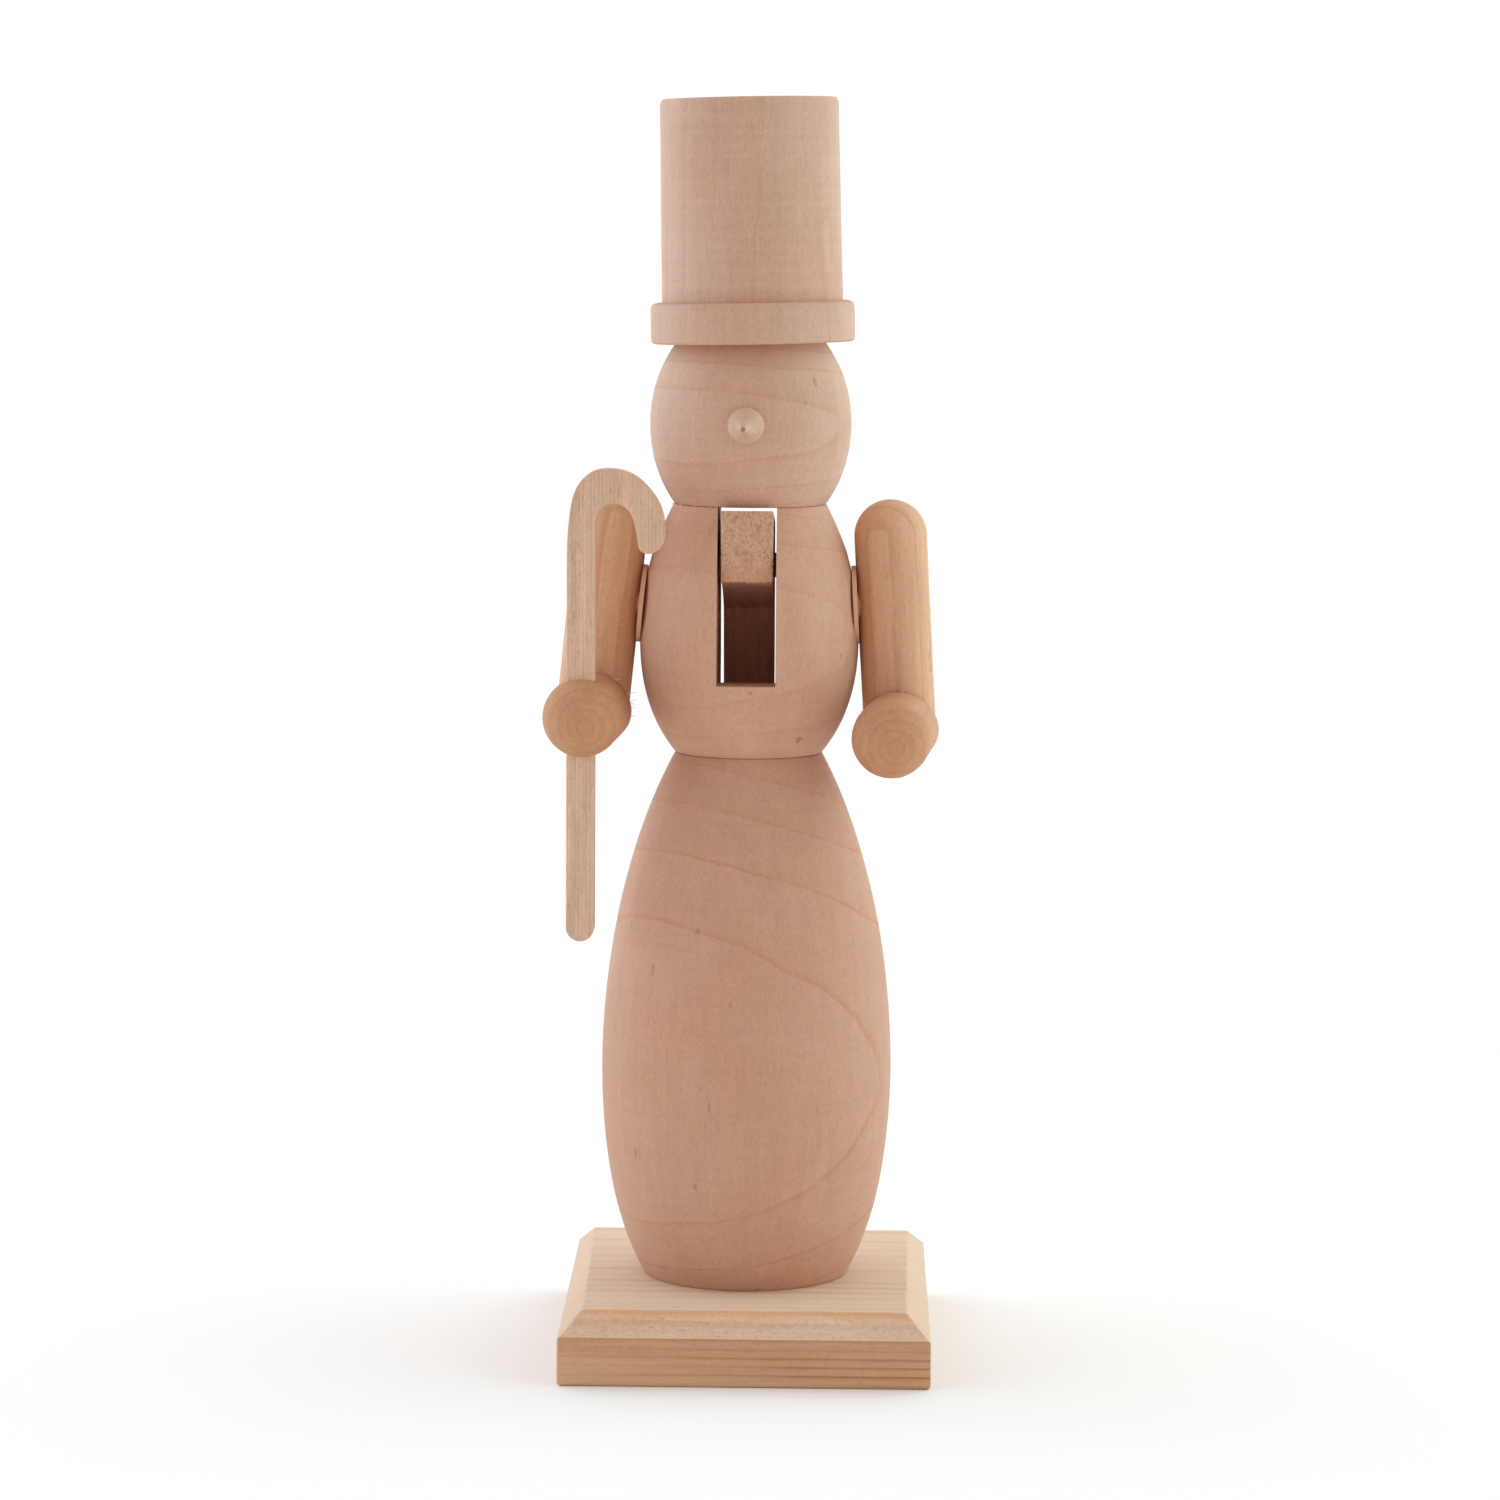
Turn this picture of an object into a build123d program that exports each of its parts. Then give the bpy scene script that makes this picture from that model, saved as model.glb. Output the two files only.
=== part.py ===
from build123d import *
from math import cos, radians, sin, tan
import os

# A turned wooden snowman nutcracker on a bevelled board, in millimetres.
# It faces -Y with +Z up, and the origin is the centre of the board's underside.
# Left and right are the viewer's: the left arm, at -X, holds the cane.
# One piece moves: the jaw lever, which swings on a cross pin in the torso's slot.
# Every other piece is glued, dowelled or screwed to its neighbour.

# Board
BOARD_WIDTH = 74.0
BOARD_DEPTH = 86.0
BOARD_HEIGHT = 14.5
BOARD_X = 0.6
BOARD_FRONT_BEVEL = 4.5
BOARD_BEVEL = 5.0
BOARD_BACK_BEVEL = 3.4
BOARD_EASE = 0.5

# Heights of the joints between the turned pieces, going up
WAIST_Z = 122.0
NECK_Z = 172.4
CAP_Z = 205.0

# Turned outlines, as (radius, height) up the side
LOWER_BODY_SIDE = [
    (20.9, BOARD_HEIGHT),
    (26.0, 27.1),
    (28.6, 40.5),
    (29.6, 56.0),
    (28.5, 75.5),
    (24.9, 95.3),
    (20.9, 108.5),
    (14.9, WAIST_Z),
]
TORSO_SIDE = [
    (14.9, WAIST_Z),
    (18.9, 128.2),
    (21.5, 136.4),
    (22.2, 147.5),
    (20.9, 158.5),
    (17.9, 167.3),
    (15.5, NECK_Z),
]
HEAD_RADIUS = 20.4
HEAD_HALF_HEIGHT = 24.4
HEAD_WIDEST_Z = 188.6
HEAD_STATIONS = 7

# Hat, on an axis that leans a little to the left
HAT_X = 0.35
HAT_LEAN = 1.3
BRIM_RADIUS = 20.6
BRIM_HEIGHT = 8.2
BRIM_TOP_ROUND = 1.2
BRIM_BOTTOM_ROUND = 0.6
CROWN_BOTTOM_RADIUS = 18.25
CROWN_TOP_RADIUS = 17.95
CROWN_HEIGHT = 40.6
CROWN_ROUND = 0.5

# Nose: a small turned button drawn up to a point, with a tenon behind it
NOSE_POSITION = (-0.6, -19.9, 189.0)
NOSE_YAW = 4.0
NOSE_DROOP = 3.5
NOSE_RADIUS = 3.65
NOSE_LENGTH = 7.2
NOSE_TIP_RADIUS = 0.45
NOSE_EDGE_HEIGHT = 0.4
NOSE_SHOULDER = (3.14, 2.0)
NOSE_WAIST = (1.53, 3.96)
NOSE_BACK = -1.0
NOSE_BACK_CHAMFER = 0.4
NOSE_TIP_FLARE = 0.4
NOSE_TENON_RADIUS = 1.5
NOSE_TENON_LENGTH = 6.0
NOSE_TENON_ROOT = 0.5

# Torso slot, open at the front, the back and the top
SLOT_WIDTH = 11.8
SLOT_X = -0.3
SLOT_FLOOR_Z = 137.1
SLOT_FLAT_BACK_Y = -12.0
SLOT_BACK_Y = 16.0
SLOT_BACK_Z = 124.0

# Jaw lever, cut from a board: a jaw block in front and a handle behind
LEVER_WIDTH = 10.4
LEVER_X = -0.25
JAW_FRONT_Y = -18.3
JAW_TOP_Z = 172.0
JAW_BOTTOM_Z = 157.9
JAW_TOP_FALL = 7.0
JAW_HOLLOW = 1.3
HANDLE_KNEE = (9.0, 150.5)
HANDLE_LEAN = 16.7
HANDLE_LENGTH = 77.0
HANDLE_DEPTH = 9.5
HANDLE_END_DEPTH = 8.4
LEVER_SHOULDER_ROUND = 6.0
LEVER_KNEE_ROUND = 2.0
HANDLE_END_ROUND = 4.0

# Cross pin that the lever swings on
PIN_Z = 160.0
PIN_RADIUS = 2.5
PIN_HALF_LENGTH = 18.5
PIN_CLEARANCE = 0.08

# Arms, each a mitred pair of dowels with a rounded end
UPPER_ARM_RADIUS = 7.35
FOREARM_RADIUS = 7.95
FOREARM_LENGTH = 21.5
UPPER_ARM_LENGTH = 46.4
LEFT_ELBOW = (-31.75, 0.0, 130.7)
LEFT_SPLAY = 5.6
LEFT_YAW = -2.8
RIGHT_ELBOW = (30.75, 0.0, 127.2)
RIGHT_SPLAY = -3.3
RIGHT_YAW = -5.2

# Shoulder spacers and their dowels, which run along X
SHOULDER_Z = 152.1
SPACER_RADIUS = 7.9
SPACER_THICKNESS = 0.9
SPACER_SEAT_RADIUS = 8.0
SHOULDER_DOWEL_RADIUS = 3.0
SHOULDER_DOWEL_IN = 12.0
SHOULDER_DOWEL_OUT = 27.0

# Cane, cut flat from a thin board
CANE_THICKNESS = 5.0
CANE_BACK_Y = -18.2
CANE_SHAFT_X = -33.1
CANE_WIDTH = 5.65
CANE_BOTTOM_Z = 85.9
CANE_HOOK_START_Z = 160.0
CANE_INNER_START_Z = 165.0

# The hook's outline from the shaft's outer edge over to its inner edge, as (x, z)
CANE_HOOK = [
    (-35.85, 166.2),
    (-35.45, 171.2),
    (-34.65, 175.2),
    (-33.3, 177.8),
    (-30.9, 179.8),
    (-27.6, 180.4),
    (-22.8, 179.2),
    (-19.4, 176.2),
    (-17.5, 173.3),
    (-16.65, 170.4),
    (-16.45, 168.2),
    (-16.85, 165.7),
    (-18.1, 164.1),
    (-19.95, 163.6),
    (-21.2, 164.1),
    (-21.8, 165.4),
    (-22.0, 167.1),
    (-22.4, 169.0),
    (-22.95, 170.8),
    (-24.0, 172.4),
    (-25.3, 173.2),
    (-26.6, 173.5),
    (-27.95, 173.2),
    (-29.25, 172.3),
    (-30.1, 170.5),
    (-30.3, 168.0),
]

# Hidden dowels and the screw under the board
WAIST_DOWEL_RADIUS = 4.0
WAIST_DOWEL_Z = (108.0, 128.0)
NECK_DOWEL_RADIUS = 2.5
NECK_DOWEL_X = 10.5
NECK_DOWEL_Z = (164.7, 181.0)
HAT_DOWEL_RADIUS = 4.0
HAT_DOWEL_BELOW = 9.0
HAT_DOWEL_ABOVE = 17.0
DOWEL_CHAMFER = 0.5
SCREW_RADIUS = 2.0
SCREW_TIP_Z = 40.0
SCREW_TIP_LENGTH = 4.0
SCREW_HEAD_RADIUS = 4.2
SCREW_HEAD_HEIGHT = 2.4
SCREW_SINK = 0.6
RECESS_WIDTH = 1.1
RECESS_SPAN = 4.4
RECESS_DEPTH = 1.4

FAR = 60.0


def turned(side):
    """A solid turned about Z from the (radius, height) points up its side."""
    curve = Spline([(radius, 0, z) for radius, z in side])
    floor = Line((0, 0, side[0][1]), curve @ 0)
    roof = Line(curve @ 1, (0, 0, side[-1][1]))
    core = Line(roof @ 1, floor @ 0)
    return revolve(make_face([floor, curve, roof, core]), Axis.Z)


def rod(radius, low, high, chamfer_size=0.0):
    """An upright rod about Z between two heights, with optional chamfered ends."""
    solid = Pos(0, 0, (low + high) / 2) * Cylinder(radius, high - low)
    if chamfer_size:
        solid = chamfer(solid.edges().filter_by(GeomType.CIRCLE), chamfer_size)
    return solid


def rod_along_x(radius, low, high, z, chamfer_size=0.0):
    """A rod along X between two X values, at height z."""
    turn = Pos(0, 0, z) * Rot(0, 90, 0)
    return turn * rod(radius, low, high, chamfer_size)


def half_space(plane):
    """A large block whose near face is the given plane, on the side of its normal."""
    return plane * Pos(0, 0, FAR) * Box(4 * FAR, 4 * FAR, 2 * FAR)


def leaning_hat_frame():
    """The frame of the hat: its origin is on the head's top, and its axis leans left."""
    return Pos(HAT_X, 0, CAP_Z) * Rot(0, -HAT_LEAN, 0)


def elbow_frame(elbow, splay, yaw):
    """The frame of an arm: upper arm along +Z, forearm along -Y, elbow at the origin."""
    return Pos(*elbow) * Rot(0, splay, 0) * Rot(0, 0, yaw)


def screw():
    """The countersunk wood screw with a cross recess, its head just inside the board."""
    head_z = SCREW_SINK
    neck_z = head_z + SCREW_HEAD_HEIGHT
    outline = Polyline(
        (0, 0, head_z),
        (SCREW_HEAD_RADIUS, 0, head_z),
        (SCREW_RADIUS, 0, neck_z),
        (SCREW_RADIUS, 0, SCREW_TIP_Z - SCREW_TIP_LENGTH),
        (0, 0, SCREW_TIP_Z),
        close=True,
    )
    solid = revolve(make_face(outline), Axis.Z)
    for angle in (0, 90):
        blade = Box(RECESS_SPAN, RECESS_WIDTH, 2 * RECESS_DEPTH)
        solid -= Pos(0, 0, head_z) * Rot(0, 0, angle) * blade
    return solid


def screw_hole():
    """The space that the screw takes, open through the board's underside."""
    outline = Polyline(
        (0, 0, 0),
        (SCREW_HEAD_RADIUS, 0, 0),
        (SCREW_HEAD_RADIUS, 0, SCREW_SINK),
        (SCREW_RADIUS, 0, SCREW_SINK + SCREW_HEAD_HEIGHT),
        (SCREW_RADIUS, 0, SCREW_TIP_Z - SCREW_TIP_LENGTH),
        (0, 0, SCREW_TIP_Z),
        close=True,
    )
    return revolve(make_face(outline), Axis.Z)


def bevel_plane(normal, edge, front_bevel, back_bevel):
    """A 45 degree bevel's plane on the board side that the normal points to.

    The bevel's width runs from front_bevel to back_bevel along Y.
    """
    shallower = (front_bevel - back_bevel) / BOARD_DEPTH
    middle_bevel = (front_bevel + back_bevel) / 2
    foot = (normal[0] * edge, normal[1] * edge, BOARD_HEIGHT - middle_bevel)
    return Plane(origin=foot, z_dir=(normal[0], normal[1] - shallower, 1))


def board():
    """The board that the figure stands on, bevelled round its top, less so at the back."""
    solid = Pos(0, 0, BOARD_HEIGHT / 2) * Box(BOARD_WIDTH, BOARD_DEPTH, BOARD_HEIGHT)
    bevels = [
        bevel_plane((0, -1), BOARD_DEPTH / 2, BOARD_FRONT_BEVEL, BOARD_FRONT_BEVEL),
        bevel_plane((0, 1), BOARD_DEPTH / 2, BOARD_BACK_BEVEL, BOARD_BACK_BEVEL),
        bevel_plane((-1, 0), BOARD_WIDTH / 2, BOARD_BEVEL, BOARD_BACK_BEVEL),
        bevel_plane((1, 0), BOARD_WIDTH / 2, BOARD_BEVEL, BOARD_BACK_BEVEL),
    ]
    for plane in bevels:
        solid -= half_space(plane)
    solid = chamfer(solid.faces().sort_by(Axis.Z)[0].edges(), BOARD_EASE)
    return Pos(BOARD_X, 0, 0) * solid - screw_hole()


def waist_dowel():
    return rod(WAIST_DOWEL_RADIUS, *WAIST_DOWEL_Z, DOWEL_CHAMFER)


def neck_dowel(side):
    return Pos(side * NECK_DOWEL_X, 0, 0) * rod(NECK_DOWEL_RADIUS, *NECK_DOWEL_Z, DOWEL_CHAMFER)


def hat_dowel():
    upright = rod(HAT_DOWEL_RADIUS, -HAT_DOWEL_BELOW, HAT_DOWEL_ABOVE, DOWEL_CHAMFER)
    return leaning_hat_frame() * upright


def shoulder_dowel(side):
    middle = side * (SHOULDER_DOWEL_IN + SHOULDER_DOWEL_OUT) / 2
    half = (SHOULDER_DOWEL_OUT - SHOULDER_DOWEL_IN) / 2
    return rod_along_x(SHOULDER_DOWEL_RADIUS, middle - half, middle + half, SHOULDER_Z, DOWEL_CHAMFER)


def jaw_pin():
    return rod_along_x(PIN_RADIUS, -PIN_HALF_LENGTH, PIN_HALF_LENGTH, PIN_Z, DOWEL_CHAMFER)


def spacer_frame(elbow, splay, side):
    """The frame of a spacer: its origin touches the arm, and +Z points away from it."""
    axis_x = elbow[0] + (SHOULDER_Z - elbow[2]) * tan(radians(splay))
    inner_x = axis_x - side * UPPER_ARM_RADIUS / cos(radians(splay))
    return Pos(inner_x, 0, SHOULDER_Z) * Rot(0, splay, 0) * Rot(0, -side * 90, 0)


def shoulder_spacer(elbow, splay, side):
    """The thin round spacer between the torso and the arm, bored for its dowel."""
    disc = spacer_frame(elbow, splay, side) * rod(SPACER_RADIUS, 0, SPACER_THICKNESS)
    return disc - shoulder_dowel(side)


def shoulder_seat(elbow, splay, side):
    """The round seat sunk in the torso's flank, with the spacer's face at its floor."""
    return spacer_frame(elbow, splay, side) * rod(SPACER_SEAT_RADIUS, -FAR, SPACER_THICKNESS)


def lower_body():
    solid = turned(LOWER_BODY_SIDE)
    solid -= rod(WAIST_DOWEL_RADIUS, WAIST_DOWEL_Z[0], WAIST_Z + 1)
    return solid - screw_hole()


def slot():
    """The cut through the torso that the lever works in; its floor falls away behind."""
    outline = Polyline(
        (-FAR, SLOT_FLOOR_Z),
        (SLOT_FLAT_BACK_Y, SLOT_FLOOR_Z),
        (SLOT_BACK_Y, SLOT_BACK_Z),
        (FAR, SLOT_BACK_Z),
        (FAR, NECK_Z + 1),
        (-FAR, NECK_Z + 1),
        close=True,
    )
    cut = extrude(Plane.YZ * make_face(outline), SLOT_WIDTH / 2, both=True)
    return Pos(SLOT_X, 0, 0) * cut


def torso():
    solid = turned(TORSO_SIDE) - slot()
    solid -= rod(WAIST_DOWEL_RADIUS, WAIST_Z - 1, WAIST_DOWEL_Z[1])
    solid -= rod_along_x(PIN_RADIUS, -FAR, FAR, PIN_Z)
    for side in (-1, 1):
        neck_hole = rod(NECK_DOWEL_RADIUS, NECK_DOWEL_Z[0], NECK_Z + 1)
        solid -= Pos(side * NECK_DOWEL_X, 0, 0) * neck_hole
        solid -= shoulder_dowel(side)
    solid -= shoulder_seat(LEFT_ELBOW, LEFT_SPLAY, -1)
    solid -= shoulder_seat(RIGHT_ELBOW, RIGHT_SPLAY, 1)
    return solid


def head_blank():
    """The head before it is bored: an ellipse turned about Z, cut level below."""
    top = CAP_Z + 2
    step = (top - NECK_Z) / (HEAD_STATIONS - 1)
    heights = [NECK_Z + step * station for station in range(HEAD_STATIONS)]
    return turned([(head_radius(z), z) for z in heights])


def head():
    """The head, cut along the hat's lean above and bored for its dowels and the nose."""
    solid = head_blank() - half_space(Plane(leaning_hat_frame()))
    solid -= hat_dowel()
    for hand in (-1, 1):
        solid -= neck_dowel(hand)
    return solid - nose_frame() * nose_tenon()


def head_radius(z):
    rise = (z - HEAD_WIDEST_Z) / HEAD_HALF_HEIGHT
    return HEAD_RADIUS * (1 - rise ** 2) ** 0.5


def nose_frame():
    """The frame of the nose: +Z runs out of the face, along the nose."""
    return Pos(*NOSE_POSITION) * Rot(0, 0, -NOSE_YAW) * Rot(90 + NOSE_DROOP, 0, 0)


def nose_tenon():
    return rod(NOSE_TENON_RADIUS, -NOSE_TENON_LENGTH, NOSE_TENON_ROOT)


def nose():
    """A round button, hollowed up to a blunt point, its back cut to fit the head."""
    edge = (NOSE_RADIUS, 0, NOSE_EDGE_HEIGHT)
    shoulder = (NOSE_SHOULDER[0], 0, NOSE_SHOULDER[1])
    waist = (NOSE_WAIST[0], 0, NOSE_WAIST[1])
    tip = (NOSE_TIP_RADIUS, 0, NOSE_LENGTH)
    end = (0, 0, NOSE_LENGTH)
    back = Polyline(end, (0, 0, NOSE_BACK), (NOSE_RADIUS - NOSE_BACK_CHAMFER, 0, NOSE_BACK), edge)
    flank = Spline([edge, shoulder, waist, tip], tangents=[(0, 0, 1), (-NOSE_TIP_FLARE, 0, 1)])
    button = revolve(make_face([back, flank, Line(tip, end)]), Axis.Z)
    seat = head_blank() - nose_frame() * nose_tenon()
    return nose_frame() * (button + nose_tenon()) - seat


def hat_brim():
    solid = rod(BRIM_RADIUS, 0, BRIM_HEIGHT)
    rims = solid.edges().filter_by(GeomType.CIRCLE).sort_by(Axis.Z)
    solid = fillet(rims[-1], BRIM_TOP_ROUND)
    rims = solid.edges().filter_by(GeomType.CIRCLE).sort_by(Axis.Z)
    solid = fillet(rims[0], BRIM_BOTTOM_ROUND)
    return leaning_hat_frame() * solid - hat_dowel()


def hat_crown():
    base = Pos(0, 0, BRIM_HEIGHT + CROWN_HEIGHT / 2)
    solid = base * Cone(CROWN_BOTTOM_RADIUS, CROWN_TOP_RADIUS, CROWN_HEIGHT)
    rims = solid.edges().filter_by(GeomType.CIRCLE).sort_by(Axis.Z)
    solid = fillet(rims[-1], CROWN_ROUND)
    return leaning_hat_frame() * solid - hat_dowel()


def lever_outline():
    """The lever's side view, as a closed face in (y, z)."""
    lean = radians(HANDLE_LEAN)
    down = (sin(lean), -cos(lean))
    back = (cos(lean), sin(lean))
    knee_y, knee_z = HANDLE_KNEE
    inner_end = (knee_y + down[0] * HANDLE_LENGTH, knee_z + down[1] * HANDLE_LENGTH)
    outer_end = (inner_end[0] + back[0] * HANDLE_END_DEPTH, inner_end[1] + back[1] * HANDLE_END_DEPTH)
    outer_knee = (knee_y + back[0] * HANDLE_DEPTH, knee_z + back[1] * HANDLE_DEPTH)

    # The sloping top and the handle's back run on to the corner where they meet.
    fall = tan(radians(JAW_TOP_FALL))
    slope = (outer_knee[0] - outer_end[0]) / (outer_knee[1] - outer_end[1])
    corner_z = JAW_TOP_Z - fall * (outer_knee[0] - JAW_FRONT_Y - slope * outer_knee[1])
    corner_z /= 1 + fall * slope
    corner_y = outer_knee[0] + slope * (corner_z - outer_knee[1])

    middle_y = (JAW_FRONT_Y + knee_y) / 2
    middle_z = (JAW_BOTTOM_Z + knee_z) / 2 + JAW_HOLLOW
    front_bottom = (JAW_FRONT_Y, JAW_BOTTOM_Z)
    under = ThreePointArc(front_bottom, (middle_y, middle_z), HANDLE_KNEE)
    rest = Polyline(
        HANDLE_KNEE,
        inner_end,
        outer_end,
        (corner_y, corner_z),
        (JAW_FRONT_Y, JAW_TOP_Z),
        front_bottom,
    )
    face = make_face([under, rest])

    def corner_near(point):
        return face.vertices().sort_by_distance((point[0], point[1], 0))[0]

    face = fillet(corner_near((corner_y, corner_z)), LEVER_SHOULDER_ROUND)
    face = fillet(corner_near(HANDLE_KNEE), LEVER_KNEE_ROUND)
    for end in (inner_end, outer_end):
        face = fillet(corner_near(end), HANDLE_END_ROUND)
    return face


def jaw_lever():
    """The lever, bored to run on its pin."""
    solid = extrude(Plane.YZ * lever_outline(), LEVER_WIDTH / 2, both=True)
    solid = Pos(LEVER_X, 0, 0) * solid
    return solid - rod_along_x(PIN_RADIUS + PIN_CLEARANCE, -FAR, FAR, PIN_Z)


def upper_arm(elbow, splay, yaw, side):
    """The upper arm: a dowel with a domed top, mitred below and bored for its dowel."""
    dome_z = UPPER_ARM_LENGTH - UPPER_ARM_RADIUS
    shaft = rod(UPPER_ARM_RADIUS, -2 * UPPER_ARM_RADIUS, dome_z)
    solid = shaft + Pos(0, 0, dome_z) * Sphere(UPPER_ARM_RADIUS)
    solid -= half_space(Plane(origin=(0, 0, 0), z_dir=(0, -1, -1)))
    solid = elbow_frame(elbow, splay, yaw) * solid
    return solid - shoulder_dowel(side)


def forearm(elbow, splay, yaw):
    """The forearm: a dowel with a ball end for the hand, mitred to the upper arm."""
    turn = Rot(90, 0, 0)
    shaft = turn * rod(FOREARM_RADIUS, -2 * FOREARM_RADIUS, FOREARM_LENGTH)
    solid = shaft + Pos(0, -FOREARM_LENGTH, 0) * Sphere(FOREARM_RADIUS)
    solid -= half_space(Plane(origin=(0, 0, 0), z_dir=(0, 1, 1)))
    return elbow_frame(elbow, splay, yaw) * solid


def cane():
    """The cane: a straight shaft with a round foot, hooked over at the top."""
    left = CANE_SHAFT_X - CANE_WIDTH / 2
    right = CANE_SHAFT_X + CANE_WIDTH / 2
    foot_z = CANE_BOTTOM_Z + CANE_WIDTH / 2
    outer_start = (left, CANE_HOOK_START_Z)
    inner_start = (right, CANE_INNER_START_Z)
    outline = [
        Line((left, foot_z), outer_start),
        Spline([outer_start, *CANE_HOOK, inner_start], tangents=[(0, 1), (0, -1)]),
        Line(inner_start, (right, foot_z)),
        ThreePointArc((right, foot_z), (CANE_SHAFT_X, CANE_BOTTOM_Z), (left, foot_z)),
    ]
    face = Plane.XZ * make_face(outline)
    return Pos(0, CANE_BACK_Y, 0) * extrude(face, CANE_THICKNESS)


def cane_shaft_hole():
    """The square hole through the left hand that the cane's shaft fills."""
    middle_y = CANE_BACK_Y - CANE_THICKNESS / 2
    hole = Box(CANE_WIDTH, CANE_THICKNESS, 4 * FOREARM_RADIUS)
    return Pos(CANE_SHAFT_X, middle_y, LEFT_ELBOW[2]) * hole


def build():
    left = (LEFT_ELBOW, LEFT_SPLAY)
    right = (RIGHT_ELBOW, RIGHT_SPLAY)
    return {
        "base_board": board(),
        "base_screw": screw(),
        "lower_body": lower_body(),
        "waist_dowel": waist_dowel(),
        "torso": torso(),
        "left_neck_dowel": neck_dowel(-1),
        "right_neck_dowel": neck_dowel(1),
        "head": head(),
        "nose": nose(),
        "hat_dowel": hat_dowel(),
        "hat_brim": hat_brim(),
        "hat_crown": hat_crown(),
        "jaw_pin": jaw_pin(),
        "jaw_lever": jaw_lever(),
        "left_shoulder_spacer": shoulder_spacer(*left, -1),
        "right_shoulder_spacer": shoulder_spacer(*right, 1),
        "left_shoulder_dowel": shoulder_dowel(-1),
        "right_shoulder_dowel": shoulder_dowel(1),
        "left_upper_arm": upper_arm(*left, LEFT_YAW, -1),
        "right_upper_arm": upper_arm(*right, RIGHT_YAW, 1),
        "left_forearm": forearm(*left, LEFT_YAW) - cane_shaft_hole(),
        "right_forearm": forearm(*right, RIGHT_YAW),
        "candy_cane": cane(),
    }


os.makedirs("parts", exist_ok=True)
for name, shape in build().items():
    solids = shape.solids()
    export_step(solids[0] if len(solids) == 1 else Compound(solids), f"parts/{name}.step")
    print(name, len(solids), round(shape.volume, 1))
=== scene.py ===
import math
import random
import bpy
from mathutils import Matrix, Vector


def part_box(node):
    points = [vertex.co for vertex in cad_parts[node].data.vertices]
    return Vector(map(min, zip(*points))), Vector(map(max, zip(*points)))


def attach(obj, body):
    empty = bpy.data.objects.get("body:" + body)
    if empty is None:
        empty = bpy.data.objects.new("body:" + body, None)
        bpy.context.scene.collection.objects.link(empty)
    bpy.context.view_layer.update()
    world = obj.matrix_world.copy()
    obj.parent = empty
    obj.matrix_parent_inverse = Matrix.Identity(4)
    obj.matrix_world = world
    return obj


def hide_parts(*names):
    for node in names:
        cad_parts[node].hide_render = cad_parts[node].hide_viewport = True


bl_info = {
    "name": "Turned Snowman Nutcracker",
    "version": (1, 0, 0),
    "blender": (4, 5, 0),
    "location": "3D Viewport > Sidebar > Snowman",
    "description": "Builds a raw wood snowman nutcracker on its board, and a small studio to show it in",
    "category": "Object",
}

import bmesh
import bpy
from bpy.props import FloatProperty, FloatVectorProperty, IntProperty, PointerProperty
from mathutils import Euler, Matrix, Vector, noise

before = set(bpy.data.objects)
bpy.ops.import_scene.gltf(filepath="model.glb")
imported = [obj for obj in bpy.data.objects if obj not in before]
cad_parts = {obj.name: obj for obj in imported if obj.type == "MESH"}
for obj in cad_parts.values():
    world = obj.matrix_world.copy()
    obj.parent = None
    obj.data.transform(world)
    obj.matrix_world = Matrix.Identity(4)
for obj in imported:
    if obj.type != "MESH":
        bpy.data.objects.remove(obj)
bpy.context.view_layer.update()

MM = 0.001
FIGURE = "figure"
LEVER = "lever"
PI = math.pi
SMOOTH_ANGLE = 38.0


# ---------------------------------------------------------------- properties

def length(name, description, millimetres):
    """A length property, given in millimetres."""
    return FloatProperty(name=name, description=description, default=millimetres * MM, unit="LENGTH",
                         subtype="DISTANCE", precision=5)


def angle(name, description, degrees):
    """An angle property, given in degrees."""
    return FloatProperty(name=name, description=description, default=math.radians(degrees),
                         unit="ROTATION", subtype="ANGLE")


def colour(name, description, red, green, blue):
    """A colour property, given as linear red, green and blue."""
    return FloatVectorProperty(name=name, description=description, default=(red, green, blue),
                               size=3, subtype="COLOR", min=0.0, max=1.0)


def glow(name, description, red, green, blue):
    """The colour and strength of a panel of light, which may go above one."""
    return FloatVectorProperty(name=name, description=description, default=(red, green, blue),
                               size=3, subtype="COLOR", min=0.0, max=10.0)


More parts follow.
